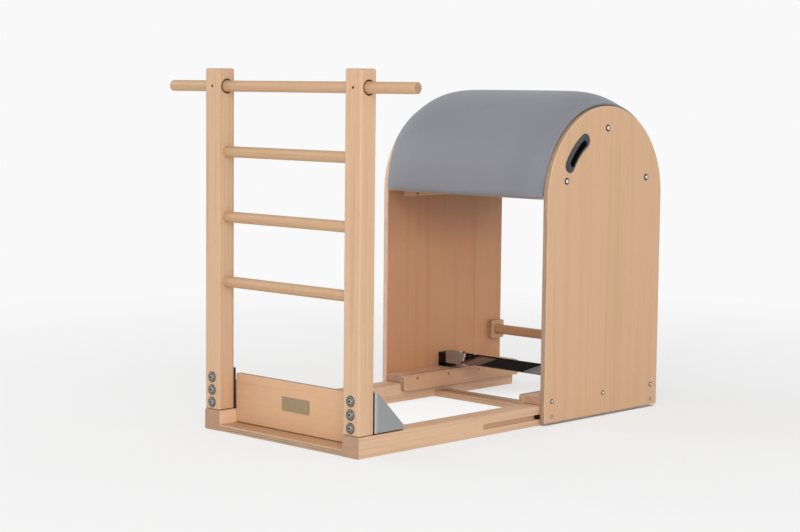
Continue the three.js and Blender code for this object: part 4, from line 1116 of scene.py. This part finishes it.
# Treadle and latch
treadle = {
    "tilt": 8.0, "sheet": 3 * mm, "foldRound": 3 * mm, "lip": 9 * mm, "front": -60 * mm, "back": 30 * mm,
    "seat": 6.3 * mm, "halfLength": 168 * mm, "matHalf": 80 * mm, "matThickness": 2 * mm, "hubRadius": 15 * mm,
    "hubLength": 23 * mm, "hubGap": 0.3 * mm, "hubBore": 6.2 * mm, "hubRound": 1.5 * mm, "hubEndRound": 2 * mm,
    "sheetRound": 0.4 * mm, "matGap": 0.3 * mm, "matRound": 0.5 * mm, "trimRadius": 2.0 * mm, "trimEnd": 222 * mm,
    "trimInset": 0.5 * mm, "trimRise": 0.8 * mm, "webDepth": 3 * mm, "webBottom": -14 * mm,
    "rivetOut": 184 * mm, "rivetHeight": 4.4 * mm, "rivetRadius": 2.8 * mm,
    "shaftRadius": 6 * mm, "collarRadius": 10 * mm, "leverInset": 262.4 * mm - 6.3 * mm, "leverLength": 45 * mm,
    "leverHalf": 3.5 * mm, "leverHalfWide": 2 * mm, "leverRound": 3.3 * mm, "edgeRound": 0.8 * mm,
}
hood = {
    "sheet": 2 * mm, "width": 79 * mm, "depth": 15 * mm, "drop": 37 * mm, "lean": 2 * mm, "foldRound": 3.5 * mm,
    "sheetRound": 0.4 * mm, "frontInset": 2 * mm, "sideRound": 0.6 * mm, "sideEdge": 0.3 * mm, "sideSinkShare": 0.6,
    "footWidth": 24 * mm, "footFront": 16 * mm, "footRound": 0.8 * mm, "shaftClear": 29.5 * mm,
    "lipPath": ((0, 0), (-2.5, -15), (-6, -27), (-4.5, -33), (1, -36.5), (14, -38.5)), "lipDepth": 2 * mm,
    "lipSheet": 2.4 * mm, "lipFold": 2 * mm, "lipRound": 0.5 * mm,
    "screwPlace": (193, 309), "screwPitch": 11 * mm, "screwRadius": 4.5 * mm, "screwHeight": 6 * mm,
    "secondShare": 0.8, "secondLower": 1 * mm,
}
bearing = {
    "wall": 31 * mm, "outer": 0.3059, "round": 3 * mm, "edgeRound": 0.8 * mm,
    "footShort": 24 * mm, "footBack": 2 * mm, "footHeight": 12 * mm, "footRound": 2 * mm,
}
pin = {
    "tip": 5 * mm, "tipRise": 1 * mm, "radius": 6 * mm, "flange": 9 * mm, "neck": 4 * mm, "shoulder": 17 * mm,
    "grooveBottom": 14 * mm, "grooveTop": 3 * mm, "headRound": 0.5 * mm,
}


def sheetAlongX(profile, halfLength, foldRound):
    bm = bmesh.new()
    points = [bm.verts.new((-halfLength, y, z)) for y, z in profile]
    edges = [bm.edges.new(pair) for pair in zip(points, points[1:])]
    grown = bmesh.ops.extrude_edge_only(bm, edges=edges)
    bmesh.ops.translate(bm, vec=(2 * halfLength, 0, 0), verts=madeVerts(grown))
    bmesh.ops.recalc_face_normals(bm, faces=bm.faces)
    soften(bm, sharpEdges(bm), foldRound, 4)
    return bm


def buildTreadle(sizes):
    shaftLow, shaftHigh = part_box("treadle_shaft")
    hubLow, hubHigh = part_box("treadle_hub_right")
    axis = Vector((0, (hubLow.y + hubHigh.y) / 2, (hubLow.z + hubHigh.z) / 2))
    turn = Matrix.Translation(axis) @ Matrix.Rotation(math.radians(sizes["tilt"]), 4, "X")
    seat, sheet, lip = sizes["seat"], sizes["sheet"], sizes["lip"]
    middle = seat + sheet / 2
    front, back = sizes["front"] + sheet / 2, sizes["back"] - sheet / 2
    edgeRound, sheetRound = sizes["edgeRound"], sizes["sheetRound"]
    profile = [(front, middle), (back, middle), (back, middle - lip)]
    plate = moved(sheetAlongX(profile, sizes["halfLength"], sizes["foldRound"]), turn)
    thicken(dress("treadlePlate", plate, "plateSteel", "treadle", ["treadle_plate"]), sheet, sheetRound)
    top = seat + sheet + sizes["matGap"] + sizes["matThickness"] / 2
    mat = moved(sheetAlongX([(sizes["front"], top), (sizes["back"], top)], sizes["matHalf"], 0), turn)
    piece = dress("treadleMat", mat, "blackRubberAndShade", "treadle", ["treadle_mat"])
    thicken(piece, sizes["matThickness"], sizes["matRound"])
    trimEnd, trimY, trimZ = sizes["trimEnd"], sizes["back"] - sizes["trimInset"], seat + sheet + sizes["trimRise"]
    trim = rodMesh((-trimEnd, trimY, trimZ), (trimEnd, trimY, trimZ), sizes["trimRadius"], 0.3 * mm, 16)
    shadeWebs, beads = [], []
    for word, side in sides:  # black webs from the plate's ends to behind the hoods: painted shade near the hood mouths
        ends = sorted((side * sizes["halfLength"], side * trimEnd))
        webLow, webHigh = (ends[0], trimY - sizes["webDepth"], sizes["webBottom"]), (ends[1], trimY, trimZ)
        shadeWebs.append(beam(webLow, webHigh, axisX, 0.6 * mm, 0.4 * mm, 2))
        x = side * sizes["rivetOut"]
        beads.append(rodMesh((x, trimY, trimZ), (x, trimY, trimZ + sizes["rivetHeight"]), sizes["rivetRadius"],
                             edgeRound, 16))
    dress("treadleRivets", moved(merged(*beads), turn), "screwSteel", "treadle")
    dress("treadleTrimAndShadeWebs", moved(merged(trim, *shadeWebs), turn), "blackRubberAndShade", "treadle")
    shaft = [rodMesh((shaftLow.x, 0, 0), (shaftHigh.x, 0, 0), sizes["shaftRadius"], edgeRound, 32)]
    half, wide = sizes["leverHalf"], sizes["leverHalfWide"]
    for word, side in sides:
        x = side * sizes["leverInset"]
        shaft.append(rodMesh((x - wide, 0, 0), (x + wide, 0, 0), sizes["collarRadius"], sheetRound, 40))
        leverHigh = (x + wide, sizes["leverLength"] + half, half)
        shaft.append(beam((x - wide, 0, -half), leverHigh, axisX, sizes["leverRound"], sheetRound))
        start = side * (sizes["halfLength"] + sizes["hubGap"])
        radius, length, bore = sizes["hubRadius"], sizes["hubLength"], sizes["hubBore"]
        near, end = sizes["hubRound"], sizes["hubEndRound"]
        profile = [(bore, 0), (radius - near, 0), (radius, near), (radius, length - end), (radius - end, length),
                   (bore, length), (bore, 0)]
        hub = turned(profile, (start, axis.y, axis.z), (side, 0, 0), 48)
        dress(f"treadleHub_{word}_cap", hub, "blackPlastic", "treadle", [f"treadle_hub_{word}"])
    dress("treadleShaftAndLevers", moved(merged(*shaft), turn), "shaftSteel", "treadle", ["treadle_shaft"])


def hoodSheet(outer, side, front, top, sizes):
    half, middle = sizes["width"] / 2, abs(outer) - sizes["width"] / 2
    profile = [(front, top - sizes["drop"]), (front, top), (front + sizes["depth"], top)]
    bm = sheetAlongX(profile, half, sizes["foldRound"])
    for vertex in bm.verts:  # the end of the front wall leans outwards at its foot
        if vertex.co.x * side < 0:
            vertex.co.x += side * sizes["lean"] * (top - vertex.co.z) / sizes["drop"]
    return moved(bm, Matrix.Translation((side * middle, 0, 0)))


def hoodLip(outer, side, front, top, sizes):
    path = [(along * mm, top + rise * mm) for along, rise in sizes["lipPath"]]
    bm = sheetAlongX(path, sizes["lipDepth"], sizes["lipFold"])
    end = abs(outer) - sizes["width"]
    bm = moved(bm, Matrix(((0, -side, 0, side * end), (1, 0, 0, front), (0, 0, 1, 0), (0, 0, 0, 1))))
    bmesh.ops.recalc_face_normals(bm, faces=bm.faces)
    return bm


def buildHood(word, side, sizes):
    low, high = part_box(f"latch_hood_{word}")
    sheet = sizes["sheet"]
    outer, front, top = outerX(low, high, side), low.y + sizes["frontInset"] + sheet / 2, high.z - sheet / 2
    piece = dress(f"latchHood_{word}", hoodSheet(outer, side, front, top, sizes), "hoodSteel", "carriage",
                  [f"latch_hood_{word}"])
    thicken(piece, sheet, sizes["sheetRound"])
    piece = dress(f"hoodLip_{word}", hoodLip(outer, side, front, top, sizes), "lipHighlight", "carriage")
    thicken(piece, sizes["lipSheet"], sizes["lipRound"])
    ends = sorted((outer, outer - side * sheet))
    wallLow = Vector((ends[0], low.y + sizes["shaftClear"], low.z))
    wallHigh = Vector((ends[1], high.y, high.z - sheet * sizes["sideSinkShare"]))
    outerWall = beam(wallLow, wallHigh, axisX, sizes["sideRound"], sizes["sideEdge"], 2)
    ends = sorted((outer, outer - side * sizes["footWidth"]))
    footLow = Vector((ends[0], low.y + sizes["footFront"], low.z))
    footHigh = Vector((ends[1], high.y, low.z + sheet))
    hoodFoot = beam(footLow, footHigh, axisX, sizes["footRound"], sizes["sideEdge"], 2)
    dress(f"hoodSide_{word}", merged(outerWall, hoodFoot), "hoodSteel", "carriage")
    x, y = sizes["screwPlace"]
    radius, height = sizes["screwRadius"], sizes["screwHeight"]
    bottom = Vector((side * x * mm, y * mm, high.z - sheet))
    boltHead = rodMesh(bottom, bottom + Vector((0, 0, height)), radius, sizes["footRound"], 24)
    dress(f"hoodBolt_{word}", boltHead, "darkMetalAndRimShade", "carriage")
    bottom = bottom + Vector((side * sizes["screwPitch"], 0, 0))
    top = bottom + Vector((0, 0, height - sizes["secondLower"]))
    boltTop = rodMesh(bottom, top, radius * sizes["secondShare"], sizes["footRound"], 24)
    dress(f"hoodScrews_{word}", boltTop, "screwSteel", "carriage")


def buildBearing(word, side, sizes):
    low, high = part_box(f"shaft_bearing_{word}")
    ends = sorted((outerX(low, high, side) - side * sizes["wall"], side * sizes["outer"]))
    upright = beam((ends[0], low.y, low.z), (ends[1], high.y, high.z), axisX, sizes["round"], sizes["edgeRound"])
    footLow = Vector((low.x + (sizes["footShort"] if side > 0 else 0), low.y, low.z))
    footHigh = Vector((high.x - (sizes["footShort"] if side < 0 else 0), high.y - sizes["footBack"],
                       low.z + sizes["footHeight"]))
    foot = beam(footLow, footHigh, axisX, sizes["footRound"], sizes["edgeRound"])
    dress(f"bearingBlock_{word}", merged(upright, foot), "blackPlastic", "carriage",
          [f"shaft_bearing_{word}"])


def buildPin(word, sizes):
    low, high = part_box(f"latch_pin_{word}")
    middle, height = (low + high) / 2, high.z - low.z
    radius, flange, neck = sizes["radius"], sizes["flange"], sizes["neck"]
    shoulder, bottom, top = (height - sizes[key] for key in ("shoulder", "grooveBottom", "grooveTop"))
    profile = [(0, 0), (sizes["tip"], 0), (radius, sizes["tipRise"]), (radius, shoulder), (flange, shoulder),
               (flange, bottom), (neck, bottom), (neck, top), (flange, top), (flange, height - sizes["headRound"]),
               (flange - sizes["headRound"], height), (0, height)]
    turnedPin = turned(profile, (middle.x, middle.y, low.z), (0, 0, 1), 40)
    dress(f"dropPin_{word}", turnedPin, "shaftSteel", f"pin_{word}", [f"latch_pin_{word}"])


buildTreadle(treadle)
for word, side in sides:
    buildHood(word, side, hood)
    buildBearing(word, side, bearing)
    buildPin(word, pin)
print("treadle and latch built")

# Stage and light
studio = {
    "floorRadius": 30, "floorDrop": 0.3 * mm, "floor": (0.94, 0.94, 0.94), "nearGlow": (0.90, 0.90, 0.90),
    "background": (0.95, 0.95, 0.95), "lift": 0.66,
    "ambient": 0.60, "fadeFrom": 1.1, "fadeTo": 3.4, "insideGlow": (0.975, 0.975, 0.975), "insideLift": 0.84,
    "insideHalf": (0.30, 0.66), "insideFrom": 0.70, "insideTo": 1.05,
    "key": {"place": (3.5, -4.0, 3.4), "aim": (0, 0, 0.4), "size": 3.2, "power": 100},
    "low": {"place": (4.2, -3.8, 1.2), "aim": (0, 0, 0.3), "size": 2.4, "power": 49},
    "fill": {"place": (-4.4, -2.0, 2.6), "aim": (0, 0, 0.4), "size": 3.0, "power": 55},
    "side": {"place": (4.6, 2.6, 3.0), "aim": (0, 0, 0.4), "size": 2.4, "power": 20},
}


def addFloor(settings):
    bm = bmesh.new()
    bmesh.ops.create_circle(bm, cap_ends=True, segments=96, radius=settings["floorRadius"])
    bmesh.ops.translate(bm, vec=(0, 0, -settings["floorDrop"]), verts=bm.verts)
    floor = asObject("studioFloor", bm)
    paint = Paint("paleFloor", roughness=0.9, specular=0.0)
    place = paint.place()
    paint.give("Base Color", settings["floor"])
    distance = paint.node("ShaderNodeVectorMath", {"operation": "LENGTH"}, {0: place}, 1)
    fade = paint.span(distance, settings["fadeFrom"], settings["fadeTo"])
    # Painted light: inside an oval around the base the floor shows brighter to the camera, washing out most of the
    # shade there
    halfWide, halfLong = settings["insideHalf"]
    squeezed = paint.scaled(place, (1 / halfWide, 1 / halfLong, 0))
    oval = paint.node("ShaderNodeVectorMath", {"operation": "LENGTH"}, {0: squeezed}, 1)
    inside = paint.span(oval, settings["insideFrom"], settings["insideTo"], 1, 0)
    colour = paint.mix(fade, settings["nearGlow"], settings["background"])
    colour = paint.mix(inside, colour, settings["insideGlow"])
    lift = inside * (settings["insideLift"] - settings["lift"]) + settings["lift"]
    glow = paint.node("ShaderNodeEmission", values={"Color": colour, "Strength": 1.0})
    shader = Signal(paint, paint.shader.outputs[0])
    seen = paint.node("ShaderNodeLightPath")  # the plain white part of the floor shows to the camera only
    panelLow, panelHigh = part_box("panel_right")  # the slits under the side panels keep their full shadow
    across, along = abs(paint.part(place, axisX)), paint.part(place, axisY)
    slit = (across > railHigh.x) * (across < panelHigh.x) * (along > panelLow.y) * (along < panelHigh.y)
    white = (fade + lift * (1 - fade)) * (1 - slit) * seen
    mixed = paint.node("ShaderNodeMixShader", values={0: white, 1: shader, 2: glow})
    paint.feed(paint.tree.nodes["Material Output"].inputs["Surface"], mixed)
    floor.data.materials.append(paint.material)


def addWorld(settings):
    world = bpy.data.worlds.new("studioWorld")
    bpy.context.scene.world = world
    world.use_nodes = True
    tree = world.node_tree
    tree.nodes.clear()
    seen = tree.nodes.new("ShaderNodeLightPath")
    ambient, shown = tree.nodes.new("ShaderNodeBackground"), tree.nodes.new("ShaderNodeBackground")
    ambient.inputs["Color"].default_value = (1, 1, 1, 1)
    ambient.inputs["Strength"].default_value = settings["ambient"]
    shown.inputs["Color"].default_value = (*settings["background"], 1)
    either, mixed = tree.nodes.new("ShaderNodeMath"), tree.nodes.new("ShaderNodeMixShader")
    either.operation = "MAXIMUM"
    output = tree.nodes.new("ShaderNodeOutputWorld")
    tree.links.new(seen.outputs["Is Camera Ray"], either.inputs[0])
    tree.links.new(seen.outputs["Is Transmission Ray"], either.inputs[1])
    tree.links.new(either.outputs[0], mixed.inputs[0])
    tree.links.new(ambient.outputs[0], mixed.inputs[1])
    tree.links.new(shown.outputs[0], mixed.inputs[2])
    tree.links.new(mixed.outputs[0], output.inputs[0])


def addLamp(name, settings):
    data = bpy.data.lights.new(name, "AREA")
    data.shape = "DISK"
    data.size = settings["size"]
    data.energy = settings["power"]
    lamp = bpy.data.objects.new(name, data)
    lamp.location = settings["place"]
    aim = Vector(settings["aim"]) - Vector(settings["place"])
    lamp.rotation_mode = "QUATERNION"
    lamp.rotation_quaternion = aim.to_track_quat("-Z", "Y")
    bpy.context.scene.collection.objects.link(lamp)


addFloor(studio)
addWorld(studio)
for lampName in ("key", "fill", "side", "low"):
    addLamp(f"{lampName}Lamp", studio[lampName])
bpy.context.scene.view_settings.view_transform = "Standard"
print("stage and light ready")
